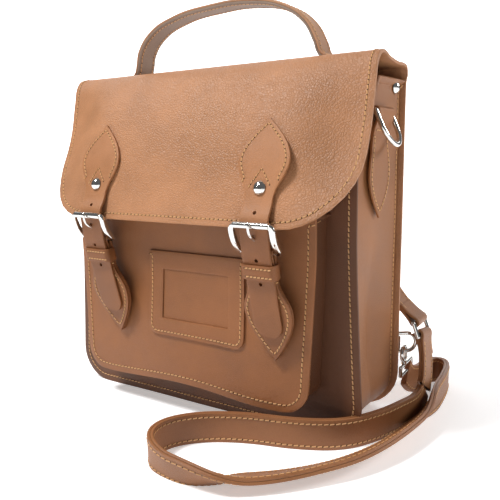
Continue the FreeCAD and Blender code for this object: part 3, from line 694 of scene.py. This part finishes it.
def ease_edges(piece, width, segments=2, angle=50):
    """Rounds the piece's sharp edges."""
    pick(piece)
    ease = piece.modifiers.new("ease", "BEVEL")
    ease.width = width
    ease.segments = segments
    ease.limit_method = "ANGLE"
    ease.angle_limit = math.radians(angle)
    bpy.ops.object.modifier_apply(modifier="ease")


label_rows = panel_rows(lambda z: LABEL_HALF, LABEL_LOW, LABEL_TOP, 9 * MM, 18)
label = blank("label_holder_leather", label_rows, 24)
thicken(label, LABEL_T, 0.01 * MM)
bpy.ops.object.select_all(action="DESELECT")
bpy.ops.mesh.primitive_cube_add(size=1, location=((WINDOW_LOW + WINDOW_TOP) / 2, 0, 0))
window = bpy.context.object
window.scale = (WINDOW_TOP - WINDOW_LOW, 2 * WINDOW_HALF, 10 * MM)
bpy.ops.object.transform_apply(location=True, rotation=True, scale=True)
cut_through(label, window)
ease_edges(label, 0.4 * MM)
dress(label, body_skin, edge_skin, flesh_skin)
label_seam = stitches("label_stitches", u_edge(label_rows, 3.2 * MM, across=10), pitch=3.6 * MM)
for part in (label, label_seam):
    part.data.transform(Matrix.Translation((0, -LABEL_X, LABEL_T)))
    stand(part, POCKET_Y)
    sculpt(part, pocket_sag)
    pick(part)
    bpy.ops.object.shade_smooth_by_angle(angle=math.radians(35))
    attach(part, "root")
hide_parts("label_frame")
card = blank("label_card_leather", [(z, WINDOW_HALF) for z in rows_between(WINDOW_LOW, WINDOW_TOP, 4 * MM)], 16)
thicken(card, 0.7 * MM, 0.2 * MM)
card.data.transform(Matrix.Translation((0, -LABEL_X, 0.8 * MM)))
stand(card, POCKET_Y)
sculpt(card, pocket_sag)
dress(card, body_skin, edge_skin, flesh_skin)
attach(card, "root")
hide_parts("label_card")

# ---- Closures: strap, buckle, prong, tab and keeper ----
# Each closure strap is a leaf-ended patch sewn to the flap that runs on as a billet. It passes under the
# buckle's roller, through the prong and the keeper, over a leaf tab of two layers folded round the hinge bar.
CLOSURE_X = 82 * MM
BAR = Vector((0, -116 * MM, 150 * MM))
TAB_SLOPE = math.radians(6.2)
DOWN = Vector((0, math.sin(TAB_SLOPE), -math.cos(TAB_SLOPE)))
OUT = Vector((0, -math.cos(TAB_SLOPE), -math.sin(TAB_SLOPE)))
STRAP_HALF, STRAP_HIDE, TAB_HIDE = 12 * MM, 2.2 * MM, 2.1 * MM


def at(along, out):
    """A point of a closure, in mm down its tab from the hinge bar and out from the tab's middle."""
    return BAR + DOWN * along * MM + OUT * out * MM


def leaf_half(x, belly_at, neck_at, belly, neck):
    """Half width of a leaf end at a distance from its tip: a pointed arch, then a soft neck."""
    if x < belly_at:
        return max(0.25 * MM, belly * math.sin(math.pi / 2 * x / belly_at))
    if x < neck_at:
        return neck + (belly - neck) * (0.5 + 0.5 * math.cos(math.pi * (x - belly_at) / (neck_at - belly_at)))
    return neck


def leaf_steps(length, first=1.2 * MM, step=3 * MM):
    """Distances along a leaf, close together at its tip."""
    return [0, first, 2 * first] + rows_between(3.4 * first, length, step)


def cut_slot(sheet, x, reach, half):
    """Opens a slot in a sheet that has no thickness yet, each way from a distance along its middle."""
    pick(sheet)
    bpy.ops.object.mode_set(mode="EDIT")
    bpy.ops.mesh.select_mode(type="FACE")
    bpy.ops.mesh.select_all(action="DESELECT")
    bpy.ops.object.mode_set(mode="OBJECT")
    for f in sheet.data.polygons:
        f.select = abs(f.center.x - x) < reach and abs(f.center.y) < half
    bpy.ops.object.mode_set(mode="EDIT")
    bpy.ops.mesh.delete(type="FACE")
    bpy.ops.object.mode_set(mode="OBJECT")


def drill(piece, x, radius):
    """Punches a round hole through the flat piece at a distance along its middle."""
    bpy.ops.object.select_all(action="DESELECT")
    bpy.ops.mesh.primitive_cylinder_add(vertices=20, radius=radius, depth=20 * MM, location=(x, 0, 0))
    cutter = bpy.context.object
    bpy.ops.object.transform_apply(location=True, rotation=True, scale=True)
    cut_through(piece, cutter)
    pick(piece)
    small = piece.modifiers.new("small_faces", "TRIANGULATE")
    small.min_vertices = 5
    bpy.ops.object.modifier_apply(modifier="small_faces")


def sway_of(side):
    """The closure's free end hangs askew: it swings inwards on the left and outwards on the right."""
    reach = 15 * MM if side == "left" else 9 * MM
    long = 83 * MM

    def sway(co):
        below = (co - BAR).dot(DOWN)
        return Vector((reach * max(0.0, below / long) ** 1.25, 0, 0))

    return sway


def finish_leather(piece, body, slot, *skins):
    """Dresses a finished leather piece, smooths it and puts it on its body."""
    if skins:
        dress(piece, *skins)
    pick(piece)
    bpy.ops.object.shade_smooth_by_angle(angle=math.radians(35))
    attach(piece, body)


def chrome(name, rough=0.07):
    """Polished nickel plate with faint wiping marks."""
    plate = bpy.data.materials.new(name)
    plate.use_nodes = True
    tree = plate.node_tree
    shader = tree.nodes["Principled BSDF"]
    shader.inputs["Base Color"].default_value = (0.74, 0.73, 0.70, 1)
    shader.inputs["Metallic"].default_value = 1.0
    place = tree.nodes.new("ShaderNodeTexCoord")
    marks = tree.nodes.new("ShaderNodeTexNoise")
    marks.inputs["Scale"].default_value = 260
    marks.inputs["Detail"].default_value = 3
    spread = tree.nodes.new("ShaderNodeMapRange")
    spread.inputs["To Min"].default_value = rough
    spread.inputs["To Max"].default_value = rough + 0.12
    tree.links.new(place.outputs["Object"], marks.inputs["Vector"])
    tree.links.new(marks.outputs["Fac"], spread.inputs["Value"])
    tree.links.new(spread.outputs["Result"], shader.inputs["Roughness"])
    return plate


plate = chrome("polished_nickel")
# Painted shade: this tab leather is darkened to stand in for the flap's shadow over the tabs and billet ends; keepers
# and back strips share it.
tab_skin_painted_shade = leather("closure_tab_leather", (0.26, 0.094, 0.029), grain=0.0011, relief=0.00014, rough=0.45)
strap_skin = leather("closure_strap_leather", (0.42, 0.18, 0.073), grain=0.0012, relief=0.00016, rough=0.45)

patch_line = [Vector((0, y * MM, z * MM)) for y, z in ((-99.9, 246.8), (-109.4, 218.8), (-115.6, 196.6))]
billet_line = [Vector((0, -119.6 * MM, 184.8 * MM))] + [
    at(along, out) for along, out in ((-24, 6.75), (-14, 6.9), (0, 6.5), (20, 4.9), (40, 4.75), (64.8, 4.7))]
TAB_TIP = 83
tab_front = [(TAB_TIP, 2.3), (60, 2.3), (40, 2.3), (22, 2.3), (9, 2.5), (3, 3.4), (0, 3.8)]
tab_line = [at(along, out) for along, out in tab_front + [(-2.7, 2.7), (-3.8, 0), (-2.7, -2.7)]]
tab_line += [at(along, -out) for along, out in reversed(tab_front)]

for side, sign in (("left", -1), ("right", 1)):
    shift = Matrix.Translation((sign * CLOSURE_X, 0, 0))

    line = line_of(patch_line + billet_line)
    length = line.data.splines[0].calc_length()
    steps = leaf_steps(length - STRAP_HALF)
    rows = [(x, leaf_half(x, 32 * MM, 60 * MM, 21.5 * MM, STRAP_HALF)) for x in steps]
    rows += round_end(STRAP_HALF, STRAP_HALF - 0.3 * MM, length, -1)[1:]
    strap = blank(f"closure_strap_{side}", rows, 12)
    thicken(strap, STRAP_HIDE, 0.45 * MM)
    for hole in (length - 96 * MM, length - 78 * MM, length - 60 * MM, length - 42 * MM):
        drill(strap, hole, 1.5 * MM)
    dress(strap, strap_skin, edge_skin, flesh_skin)
    leaf = [r for r in rows if r[0] < 50 * MM]
    seam = stitches(f"closure_strap_stitches_{side}", u_edge(leaf, 3.0 * MM), pitch=3.4 * MM)
    vee = [Vector((50 * MM, 8 * MM, 0)), Vector((38 * MM, 0, 0)), Vector((50 * MM, -8 * MM, 0))]
    seam_vee = stitches(f"closure_strap_vee_{side}", vee, pitch=3.2 * MM)
    for part in (strap, seam, seam_vee):
        bend(part, line)
        sculpt(part, lambda co: fall_of_flap(co) if co.z > 176 * MM else sway_of(side)(co))
        part.data.transform(shift)
        finish_leather(part, "flap", "leather_flap")
    # Painted shade: below the flap's lower edge the billet's faces take the darker tab leather, standing in for the
    # flap's shadow.
    strap.data.materials.append(tab_skin_painted_shade)
    for f in strap.data.polygons:
        if f.material_index == 0 and f.center.z < 170 * MM:
            f.material_index = 3
    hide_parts(f"flap_strap_{side}")
    bpy.data.objects.remove(line)

    line = line_of(tab_line)
    length = line.data.splines[0].calc_length()
    half_steps = leaf_steps(length / 2)
    half_rows = [(x, leaf_half(x, 38 * MM, 62 * MM, 20 * MM, STRAP_HALF)) for x in half_steps]
    rows = half_rows + [(length - x, half) for x, half in reversed(half_rows[:-1])]
    tab = blank(f"closure_tab_leather_{side}", rows, 12)
    cut_slot(tab, length / 2, 6.5 * MM, 2.1 * MM)
    thicken(tab, TAB_HIDE, 0.5 * MM)
    dress(tab, tab_skin_painted_shade, edge_skin, flesh_skin)
    leaf = [r for r in half_rows if r[0] < 66 * MM]
    seam = stitches(f"closure_tab_stitches_{side}", u_edge(leaf, 2.9 * MM), pitch=3.6 * MM)
    for part in (tab, seam):
        bend(part, line, turned=True)
        sculpt(part, sway_of(side))
        part.data.transform(shift)
        finish_leather(part, "flap", "leather_tab")
    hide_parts(f"closure_tab_{side}")
    bpy.data.objects.remove(line)

    # keeper: a folded band sewn with two rows, its mouth slightly open
    in_tab = Matrix.Translation(BAR + Vector((sign * CLOSURE_X, 0, 0))) @ Matrix((
        (0, 1, 0, 0), (DOWN.y, 0, OUT.y, 0), (DOWN.z, 0, OUT.z, 0), (0, 0, 0, 1)))
    bpy.ops.object.select_all(action="DESELECT")
    bpy.ops.mesh.primitive_cube_add(size=1)
    keeper = bpy.context.object
    keeper.name = f"keeper_band_{side}"
    keeper.scale = (11 * MM, 2 * 14.3 * MM, 12.6 * MM)
    bpy.ops.object.transform_apply(location=True, rotation=True, scale=True)
    for v in keeper.data.vertices:
        v.select = True
    for e in keeper.data.edges:
        ends = [keeper.data.vertices[i].co for i in e.vertices]
        e.select = abs(ends[0].x - ends[1].x) > 1 * MM
    for v in keeper.data.vertices:
        v.select = False
    for f in keeper.data.polygons:
        f.select = False
    bpy.ops.object.mode_set(mode="EDIT")
    bpy.ops.mesh.select_mode(type="EDGE")
    bpy.ops.object.mode_set(mode="OBJECT")
    for e in keeper.data.edges:
        ends = [keeper.data.vertices[i].co for i in e.vertices]
        e.select = abs(ends[0].x - ends[1].x) > 1 * MM
    bpy.ops.object.mode_set(mode="EDIT")
    bpy.ops.mesh.bevel(offset=4.2 * MM, segments=6)
    bpy.ops.object.mode_set(mode="OBJECT")
    bpy.ops.object.mode_set(mode="EDIT")
    bpy.ops.mesh.select_mode(type="FACE")
    bpy.ops.mesh.select_all(action="DESELECT")
    bpy.ops.object.mode_set(mode="OBJECT")
    for f in keeper.data.polygons:
        f.select = abs(f.normal.x) > 0.9
    bpy.ops.object.mode_set(mode="EDIT")
    bpy.ops.mesh.delete(type="FACE")
    bpy.ops.mesh.select_all(action="SELECT")
    bpy.ops.mesh.bisect(plane_co=(0, 0, 0), plane_no=(0, 1, 0))
    bpy.ops.mesh.select_all(action="SELECT")
    bpy.ops.mesh.bisect(plane_co=(0, 0, 0), plane_no=(1, 0, 0))
    bpy.ops.object.mode_set(mode="OBJECT")
    thicken(keeper, 1.9 * MM, 0.45 * MM)
    dress(keeper, tab_skin_painted_shade, edge_skin, flesh_skin)
    keeper.data.transform(Matrix.Translation((13.5 * MM, 0, 2.0 * MM)))
    sewn = []
    for x in (10.3 * MM, 16.6 * MM):
        row = stitches(f"keeper_stitches_{side}", [Vector((x, -9.6 * MM, 0)), Vector((x, 9.6 * MM, 0))],
                       pitch=3.2 * MM, high=8.3 * MM)
        sewn.append(row)
    for part in [keeper] + sewn:
        part.data.transform(in_tab)
        sculpt(part, sway_of(side))
        finish_leather(part, "flap", "leather_tab")
    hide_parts(f"keeper_{side}")

    # buckle frame: one heavy casting with rounded bars, its cheeks wider and arched over the billet
    bpy.ops.object.select_all(action="DESELECT")
    bpy.ops.mesh.primitive_plane_add(size=1)
    buckle = bpy.context.object
    buckle.name = f"buckle_casting_{side}"
    REACH, CHEEK_HALF, BAR_T = 24.0 * MM, 19.3 * MM, 3.0 * MM
    buckle.scale = (REACH + BAR_T, 2 * CHEEK_HALF, 1)
    bpy.ops.object.transform_apply(location=True, rotation=True, scale=True)
    bpy.ops.object.mode_set(mode="EDIT")
    bpy.ops.mesh.select_all(action="SELECT")
    bpy.ops.mesh.bevel(offset=4.5 * MM, segments=5, affect="VERTICES")
    bpy.ops.mesh.inset(thickness=BAR_T)
    bpy.ops.transform.resize(value=(1, (CHEEK_HALF - 4.4 * MM) / (CHEEK_HALF - BAR_T), 1))
    bpy.ops.mesh.delete(type="FACE")
    bpy.ops.object.mode_set(mode="OBJECT")
    if buckle.data.polygons[0].normal.z < 0:
        buckle.data.flip_normals()
    wall = buckle.modifiers.new("wall", "SOLIDIFY")
    wall.thickness = BAR_T
    wall.offset = 0
    bpy.ops.object.modifier_apply(modifier="wall")
    bpy.ops.object.mode_set(mode="EDIT")
    for x in (-8, -4, 0, 4, 8):
        bpy.ops.mesh.select_all(action="SELECT")
        bpy.ops.mesh.bisect(plane_co=(x * MM, 0, 0), plane_no=(1, 0, 0))
    bpy.ops.object.mode_set(mode="OBJECT")
    for v in buckle.data.vertices:
        if abs(v.co.y) > 14 * MM:
            middle = max(0.0, 1 - (v.co.x / (REACH / 2)) ** 2)
            v.co.z = v.co.z * (1 + 0.45 * middle) + 2.2 * MM * middle
    ease_edges(buckle, 0.95 * MM, segments=3, angle=40)
    tilt = math.atan2(9.6, 22)
    buckle.data.transform(in_tab @ Matrix.Rotation(tilt, 4, "Y") @ Matrix.Translation((-REACH / 2, 0, 0)))
    dress(buckle, plate)
    pick(buckle)
    bpy.ops.object.shade_smooth_by_angle(angle=math.radians(50))
    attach(buckle, "flap")
    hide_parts(f"buckle_frame_{side}")

    # prong: a drawn needle with an eye on the hinge bar, its tip resting on the roller
    needle_line = line_of([at(along, out) for along, out in (
        (-1.5, 2.6), (-6, 3.2), (-9.5, 5.0), (-12.5, 9.0), (-16, 12.4), (-20, 13.6), (-25, 13.5))])
    needle_length = needle_line.data.splines[0].calc_length()
    bpy.ops.object.select_all(action="DESELECT")
    bpy.ops.mesh.primitive_circle_add(vertices=12, radius=1.5 * MM, fill_type="NGON", rotation=(0, math.pi / 2, 0))
    prong = bpy.context.object
    prong.name = f"prong_needle_{side}"
    bpy.ops.object.transform_apply(location=True, rotation=True, scale=True)
    bpy.ops.object.mode_set(mode="EDIT")
    bpy.ops.mesh.select_all(action="SELECT")
    for i in range(14):
        x = needle_length * (i + 1) / 15
        bpy.ops.mesh.extrude_region_move(TRANSFORM_OT_translate={"value": (needle_length / 15, 0, 0)})
        bpy.ops.transform.resize(value=(1, 0.975, 0.96), center_override=(x, 0, 0))
    bpy.ops.mesh.extrude_region_move(TRANSFORM_OT_translate={"value": (needle_length / 15, 0, 0)})
    bpy.ops.transform.resize(value=(1, 0.5, 0.5), center_override=(needle_length, 0, 0))
    bpy.ops.mesh.select_all(action="SELECT")
    bpy.ops.mesh.normals_make_consistent(inside=False)
    bpy.ops.object.mode_set(mode="OBJECT")
    bend(prong, needle_line)
    bpy.data.objects.remove(needle_line)
    prong.data.transform(shift)
    bpy.ops.object.select_all(action="DESELECT")
    bpy.ops.mesh.primitive_torus_add(major_radius=2.45 * MM, minor_radius=0.85 * MM, major_segments=24,
                                     minor_segments=10, rotation=(0, math.pi / 2, 0),
                                     location=BAR + Vector((sign * CLOSURE_X, 0, 0)))
    eye = bpy.context.object
    eye.scale = (1, 1, 1.6)
    bpy.ops.object.transform_apply(location=True, rotation=True, scale=True)
    prong.select_set(True)
    bpy.context.view_layer.objects.active = prong
    bpy.ops.object.join()
    dress(prong, plate)
    bpy.ops.object.shade_smooth()
    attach(prong, f"prong_{side}")
    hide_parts(f"buckle_prong_{side}")

# ---- Side tabs ----
# On each side gusset a leaf of hide is sewn flat, and its top is folded into a tunnel round the ring's bar.
WALL_LEAN = math.radians(5.3)
TAB_Y, RING_Z = -42 * MM, 251 * MM
WALL_X = 142.0 * MM
BAR_OFF = 4.25
side_line = [(-3.2, 171), (-3.3, 190), (-3.4, 215), (-3.6, 235), (-6.4, 244), (-BAR_OFF - 3.8, 251),
             (-BAR_OFF - 2.7, 253.7), (-BAR_OFF, 254.8), (-BAR_OFF + 2.7, 253.7), (-0.35, 250.5), (-0.3, 240),
             (-0.3, 222)]
ring_skin = leather("side_tab_leather", (0.32, 0.125, 0.042), grain=0.0011, relief=0.00014, rough=0.45)
for side, sign in (("left", -1), ("right", 1)):
    line = line_of([(0, y * MM, z * MM) for y, z in side_line])
    length = line.data.splines[0].calc_length()
    steps = leaf_steps(length)
    rows = [(x, leaf_half(x, 33 * MM, 64 * MM, 17.5 * MM, 13 * MM)) for x in steps]
    tab = blank(f"ring_tab_leather_{side}", rows, 10)
    thicken(tab, 1.8 * MM, 0.4 * MM)
    dress(tab, ring_skin, edge_skin, flesh_skin)
    seam = stitches(f"ring_tab_stitches_{side}", u_edge([r for r in rows if r[0] < 66 * MM], 2.8 * MM), pitch=3.6 * MM)
    cross = [Vector((66 * MM, 10 * MM, 0)), Vector((66 * MM, -10 * MM, 0))]
    seam_cross = stitches(f"ring_tab_cross_stitches_{side}", cross, pitch=3.4 * MM)
    turn = Matrix.Rotation(sign * (math.pi / 2 - WALL_LEAN), 4, "Z")
    for part in (tab, seam, seam_cross):
        bend(part, line, turned=True)
        part.data.transform(Matrix.Translation((sign * WALL_X, TAB_Y, 0)) @ turn)
        finish_leather(part, "root", "leather_tab")
    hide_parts(f"side_tab_{side}")
    bpy.data.objects.remove(line)

# ---- Back fittings: the anchor and the corner tabs ----
# Short strips of hide folded round the hardware they hold and riveted flat to the back panel: a wide one
# for the top ring, and one at each lower corner for the ring that takes the snap hook.
def riveted_strip(name, points, rows, thick, place):
    """A strip folded round a bar, its outer face towards the back of the bag, put where `place` says."""
    line = line_of([(0, y * MM, z * MM) for y, z in points])
    length = line.data.splines[0].calc_length()
    far = rows[-1]
    rows = rows + [(x, far[1]) for x in rows_between(far[0], length, 2.5 * MM)[1:]]
    strip = blank(name, rows, 8)
    thicken(strip, thick, 0.35 * MM)
    dress(strip, tab_skin_painted_shade, edge_skin, flesh_skin)
    bend(strip, line)
    strip.data.transform(place)
    finish_leather(strip, "root", "leather_tab")
    bpy.data.objects.remove(line)
    return strip


anchor_points = [(-3.3, 274), (-3.4, 264), (-6, 257), (-11, 252.5), (-11.8, 248), (-10.1, 243.9), (-6, 242.2),
                 (-1.9, 243.9), (-0.3, 248), (-0.3, 255), (-0.3, 262)]
anchor_rows = round_end(18 * MM, 8 * MM, 0, 1) + [(11 * MM, 18 * MM), (14 * MM, 17 * MM), (17 * MM, 14 * MM),
                                                  (20 * MM, 11 * MM), (23 * MM, 9.2 * MM), (26 * MM, 9 * MM)]
anchor = riveted_strip("anchor_strip", anchor_points, anchor_rows, 1.5 * MM, Matrix.Rotation(math.pi, 4, "Z"))
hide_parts("back_anchor")
corner_points = [(-3.3, 0), (-3.4, -18), (-5, -24), (-9.3, -29.5), (-8.15, -32.2), (-5.4, -33.4), (-2.7, -32.2),
                 (-0.4, -28), (-0.3, -22), (-0.3, -12)]
corner_rows = round_end(11 * MM, 5 * MM, 0, 1) + [(8 * MM, 11 * MM), (14 * MM, 11 * MM), (17 * MM, 9.6 * MM),
                                                  (20 * MM, 7 * MM), (23 * MM, 5.7 * MM), (26 * MM, 5.5 * MM)]
for side, sign in (("left", -1), ("right", 1)):
    lay = Matrix(((0, 0, -sign, sign * 116 * MM), (0, -1, 0, 0), (-sign, 0, 0, 58 * MM), (0, 0, 0, 1)))
    corner = riveted_strip(f"corner_strip_{side}", corner_points, corner_rows, 1.6 * MM, lay)
    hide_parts(f"corner_tab_{side}")

# ---- Handle ----
# Two layers of hide sewn along both edges and bent into an arch. Its ends turn outwards and lie flat on
# the flap's top, where a capped rivet holds each.
HANDLE_Y, HANDLE_HALF_W = -28 * MM, 11 * MM
handle_points = [(-124, 295.3), (-112, 295.3), (-104, 297.5), (-101, 305), (-98, 317), (-84, 333), (-55, 344.5),
                 (-15, 349.2), (25, 348.6), (58, 341), (80, 326), (90, 309), (94, 299.5), (102, 295.8),
                 (112, 295.3), (124, 295.3)]
handle_line = line_of([(x * MM, HANDLE_Y, z * MM) for x, z in handle_points])
length = handle_line.data.splines[0].calc_length()
rows = round_end(HANDLE_HALF_W, 5 * MM, 0, 1, 4)
rows += [(x, HANDLE_HALF_W) for x in rows_between(5 * MM, length - 5 * MM, 3 * MM)[1:-1]]
rows += round_end(HANDLE_HALF_W, 5 * MM, length, -1, 4)
handle_skin = leather("handle_leather", (0.45, 0.23, 0.12), grain=0.0016, relief=0.0002, rough=0.5)
lining_skin = leather("handle_lining", (0.27, 0.19, 0.14), grain=0.0012, relief=0.0001, rough=0.6)
parts = []
top_layer = blank("handle_strap", rows, 8)
thicken(top_layer, 1.95 * MM, 0.5 * MM)
dress(top_layer, handle_skin, edge_skin, flesh_skin)
lining = blank("handle_lining_layer", rows, 8)
thicken(lining, 1.95 * MM, 0.5 * MM)
dress(lining, lining_skin, edge_skin, flesh_skin)
lining.data.transform(Matrix.Translation((0, 0, -4 * MM)) @ Matrix.Rotation(math.pi, 4, "X"))
for high, under in ((0, False), (4 * MM, True)):
    for edge in (1, -1):
        ends = [Vector((4 * MM, edge * 8.0 * MM, 0)), Vector((length - 4 * MM, edge * 8.0 * MM, 0))]
        row = stitches("handle_stitches", ends, pitch=4.0 * MM, high=high)
        if under:
            row.data.transform(Matrix.Rotation(math.pi, 4, "X"))
        parts.append(row)
for part in [top_layer, lining] + parts:
    bend(part, handle_line)
    bpy.ops.object.shade_smooth_by_angle(angle=math.radians(35))
    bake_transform(part)
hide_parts("handle", "handle_foot_left", "handle_foot_right")
bpy.data.objects.remove(handle_line)

# ---- Long strap: the free loop ----
# A double strap, two layers of the same hide sewn along both edges. It leaves the link ring behind the
# right edge, sweeps forward along the floor in a loop and comes back to the snap hook at the corner.
STRAP_W, STRAP_T = 24 * MM, 4.6 * MM
FLOOR = STRAP_W / 2
strap_route = [
    (167, 17, 63), (171, 12, 40), (172, 2, 20), (171, -14, 12), (165, -35, 12), (157, -60, 12), (139, -91, 12),
    (106, -108, 12), (70, -117, 12), (38, -134, 12), (20, -158, 12), (25, -182, 12), (50, -193, 11),
    (80, -189, 8), (106, -170, 6), (130, -147, 6), (158, -112, 8), (176, -62, 11), (180, 0, 12),
    (178, 50, 12), (173, 78, 12), (161, 83, 12), (154, 68, 12), (153, 44, 13), (152, 24, 20), (151.6, 17, 28),
]
data = bpy.data.curves.new("strap_line", "CURVE")
data.dimensions = "3D"
data.twist_mode = "Z_UP"
data.resolution_u = 24
spline = data.splines.new("NURBS")
spline.points.add(len(strap_route) - 1)
for knot, (x, y, z) in zip(spline.points, strap_route):
    knot.co = (x * MM, y * MM, z * MM, 1)
spline.order_u = 3
spline.use_endpoint_u = True
strap_line = bpy.data.objects.new("strap_line", data)
bpy.context.scene.collection.objects.link(strap_line)
read = bpy.data.meshes.new_from_object(strap_line.evaluated_get(bpy.context.evaluated_depsgraph_get()))
strap_path = [v.co.copy() for v in read.vertices]
bpy.data.objects.remove(strap_line)
strap_length = lengths(strap_path)[-1]


strap_widths = [(0.0, Vector((0, 1, 0))), (0.015, Vector((0, 1, 0))), (0.07, Vector((0, 0, 1))),
                (0.30, Vector((0, 0, 1))), (0.34, Vector((0.1, -0.3, 0.95))), (0.395, Vector((0.6, -0.75, 0.35))),
                (0.46, Vector((0.7, -0.65, 0.5))), (0.54, Vector((0.85, -0.2, 0.75))), (0.61, Vector((0, 0, 1))),
                (strap_length - 0.06, Vector((0, 0, 1))), (strap_length - 0.012, Vector((0, 1, 0))),
                (strap_length, Vector((0, 1, 0)))]
strap_rows = [(x, STRAP_W / 2) for x in rows_between(0, strap_length, 3.5 * MM)]
long_skin = leather("long_strap_leather", (0.30, 0.12, 0.043), grain=0.0012, relief=0.00014, rough=0.45)
pieces = []
for name, top in (("strap_outer_layer", True), ("strap_inner_layer", False)):
    layer = blank(name, strap_rows, 6)
    thicken(layer, STRAP_T / 2 - 0.05 * MM, 0.45 * MM)
    dress(layer, long_skin, edge_skin, flesh_skin)
    layer.data.transform(Matrix.Translation((0, 0, STRAP_T / 2)))
    if not top:
        layer.data.transform(Matrix.Rotation(math.pi, 4, "X"))
    pieces.append(layer)
inner_side = [Vector((3 * MM, 0, 0)), Vector((strap_length - 3 * MM, 0, 0))]
for face in (1, -1):
    for edge in (1, -1):
        row = stitches("strap_stitches", [p + Vector((0, edge * 8.8 * MM, 0)) for p in inner_side], pitch=4.4 * MM)
        row.data.transform(Matrix.Translation((0, 0, STRAP_T / 2)))
        if face < 0:
            row.data.transform(Matrix.Rotation(math.pi, 4, "X"))
        pieces.append(row)
bpy.ops.object.select_all(action="DESELECT")
for piece in pieces:
    piece.select_set(True)
bpy.context.view_layer.objects.active = pieces[0]
bpy.ops.object.join()
strap = bpy.context.object
strap.name = "long_strap"
lay_along(strap, strap_path, strap_widths)
pick(strap)
bpy.ops.object.shade_smooth_by_angle(angle=math.radians(35))
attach(strap, "root")
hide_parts("strap_loop", "strap_end_front", "strap_end_back")

# ---- Strap arms on the back ----
# Two arms of the same double strap run from the top ring to the lower corners. Each is folded round
# the ring's wire, twists a quarter turn, and is folded round the link on the right and the hook on the left.
def double_strap(name, length, seams=(1, -1)):
    """A straight double strap with its two stitch rows, joined as one piece."""
    rows = [(x, STRAP_W / 2) for x in rows_between(0, length, 3.5 * MM)]
    pieces = []
    for face in seams:
        layer = blank(name, rows, 6)
        thicken(layer, STRAP_T / 2 - 0.05 * MM, 0.45 * MM)
        dress(layer, long_skin, edge_skin, flesh_skin)
        pieces.append(layer)
        for edge in (1, -1):
            run = [Vector((3 * MM, edge * 8.8 * MM, 0)), Vector((length - 3 * MM, edge * 8.8 * MM, 0))]
            pieces.append(stitches("strap_stitches", run, pitch=4.4 * MM))
        for piece in pieces[-3:]:
            piece.data.transform(Matrix.Translation((0, 0, STRAP_T / 2)))
            if face < 0:
                piece.data.transform(Matrix.Rotation(math.pi, 4, "X"))
    bpy.ops.object.select_all(action="DESELECT")
    for piece in pieces:
        piece.select_set(True)
    bpy.context.view_layer.objects.active = pieces[0]
    bpy.ops.object.join()
    joined = bpy.context.object
    joined.name = name
    return joined


def fold_round(name, bar, bar_way, leg_way, wire):
    """The strap's end folded round a bar and sewn back: one layer whose two legs close on the strap."""
    out = wire + 2.5
    half_turn = [(-out, 0), (-0.71 * out, 0.71 * out), (0, out), (0.71 * out, 0.71 * out), (out, 0)]
    legs = [(-2.5, -19), (-2.55, -12), (-3.3, -5)]
    points = legs + half_turn + [(-y, z) for y, z in reversed(legs)]
    line = line_of([(0, y * MM, z * MM) for y, z in points])
    length = line.data.splines[0].calc_length()
    fold = blank(name, [(x, STRAP_W / 2) for x in rows_between(0, length, 1.8 * MM)], 6)
    thicken(fold, 2.2 * MM, 0.45 * MM)
    dress(fold, long_skin, edge_skin, flesh_skin)
    bend(fold, line, turned=True)
    bpy.data.objects.remove(line)
    up = -Vector(leg_way).normalized()
    wide = Vector(bar_way)
    wide = (wide - up * wide.dot(up)).normalized()
    fold.data.transform(Matrix.Translation(Vector(bar)) @ Matrix((wide, up.cross(wide), up)).transposed().to_4x4())
    finish_leather(fold, "root", "leather_strap")
    return fold


RING_AT = Vector((0, 6 * MM, 226 * MM))
for side, sign, lower, end, wire in (
    ("right", 1, [(66, 12, 182), (112, 16, 138), (146, 17, 92)], (161.4, 17, 77.6), 1.7),
    ("left", -1, [(-66, 11, 186), (-108, 15, 148), (-138, 16, 116)], (-151.6, 16, 86.8), 1.7),
):
    radial = Vector((sign * 0.83, 0, -0.55)).normalized()
    on_ring = RING_AT + radial * 22 * MM
    end = Vector(end) * MM
    points = [on_ring + radial * 12 * MM] + [Vector(p) * MM for p in lower]
    leg = (points[-1] - end).normalized()
    points.append(end + leg * 12 * MM)
    line = line_of(points)
    read = bpy.data.meshes.new_from_object(line.evaluated_get(bpy.context.evaluated_depsgraph_get()))
    path = [v.co.copy() for v in read.vertices]
    bpy.data.objects.remove(line)
    length = lengths(path)[-1]
    tangent = DEPTH.cross(radial)
    arm = double_strap(f"strap_arm_{side}", length)
    lay_along(arm, path, [(0, tangent), (20 * MM, tangent), (length * 0.6, -DEPTH), (length, -DEPTH)])
    finish_leather(arm, "root", "leather_strap")
    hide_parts(f"strap_back_{side}")
    fold_round(f"ring_fold_{side}", on_ring, tangent, radial, 2.0)
    fold_round(f"lower_fold_{side}", end, DEPTH, leg, wire)

# the long strap's first end, folded round the link
fold_round("link_fold", Vector((165.6, 17, 66.4)) * MM, DEPTH, (0.22, -0.15, -0.96), 1.7)

# ---- Hardware kept as made: rings, rollers, hooks, rivets and snaps ----
# Drawn and cast metal with a bright nickel plate; the hidden snap halves are plain steel.
steel = chrome("snap_steel", rough=0.3)
for name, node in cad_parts.items():
    metal = ("roller" in name or "ring" in name or "hook" in name or "link" in name or "rivet" in name
             or "stud" in name)
    if metal or "socket" in name:
        dress(node, steel if "snap" in name else plate)
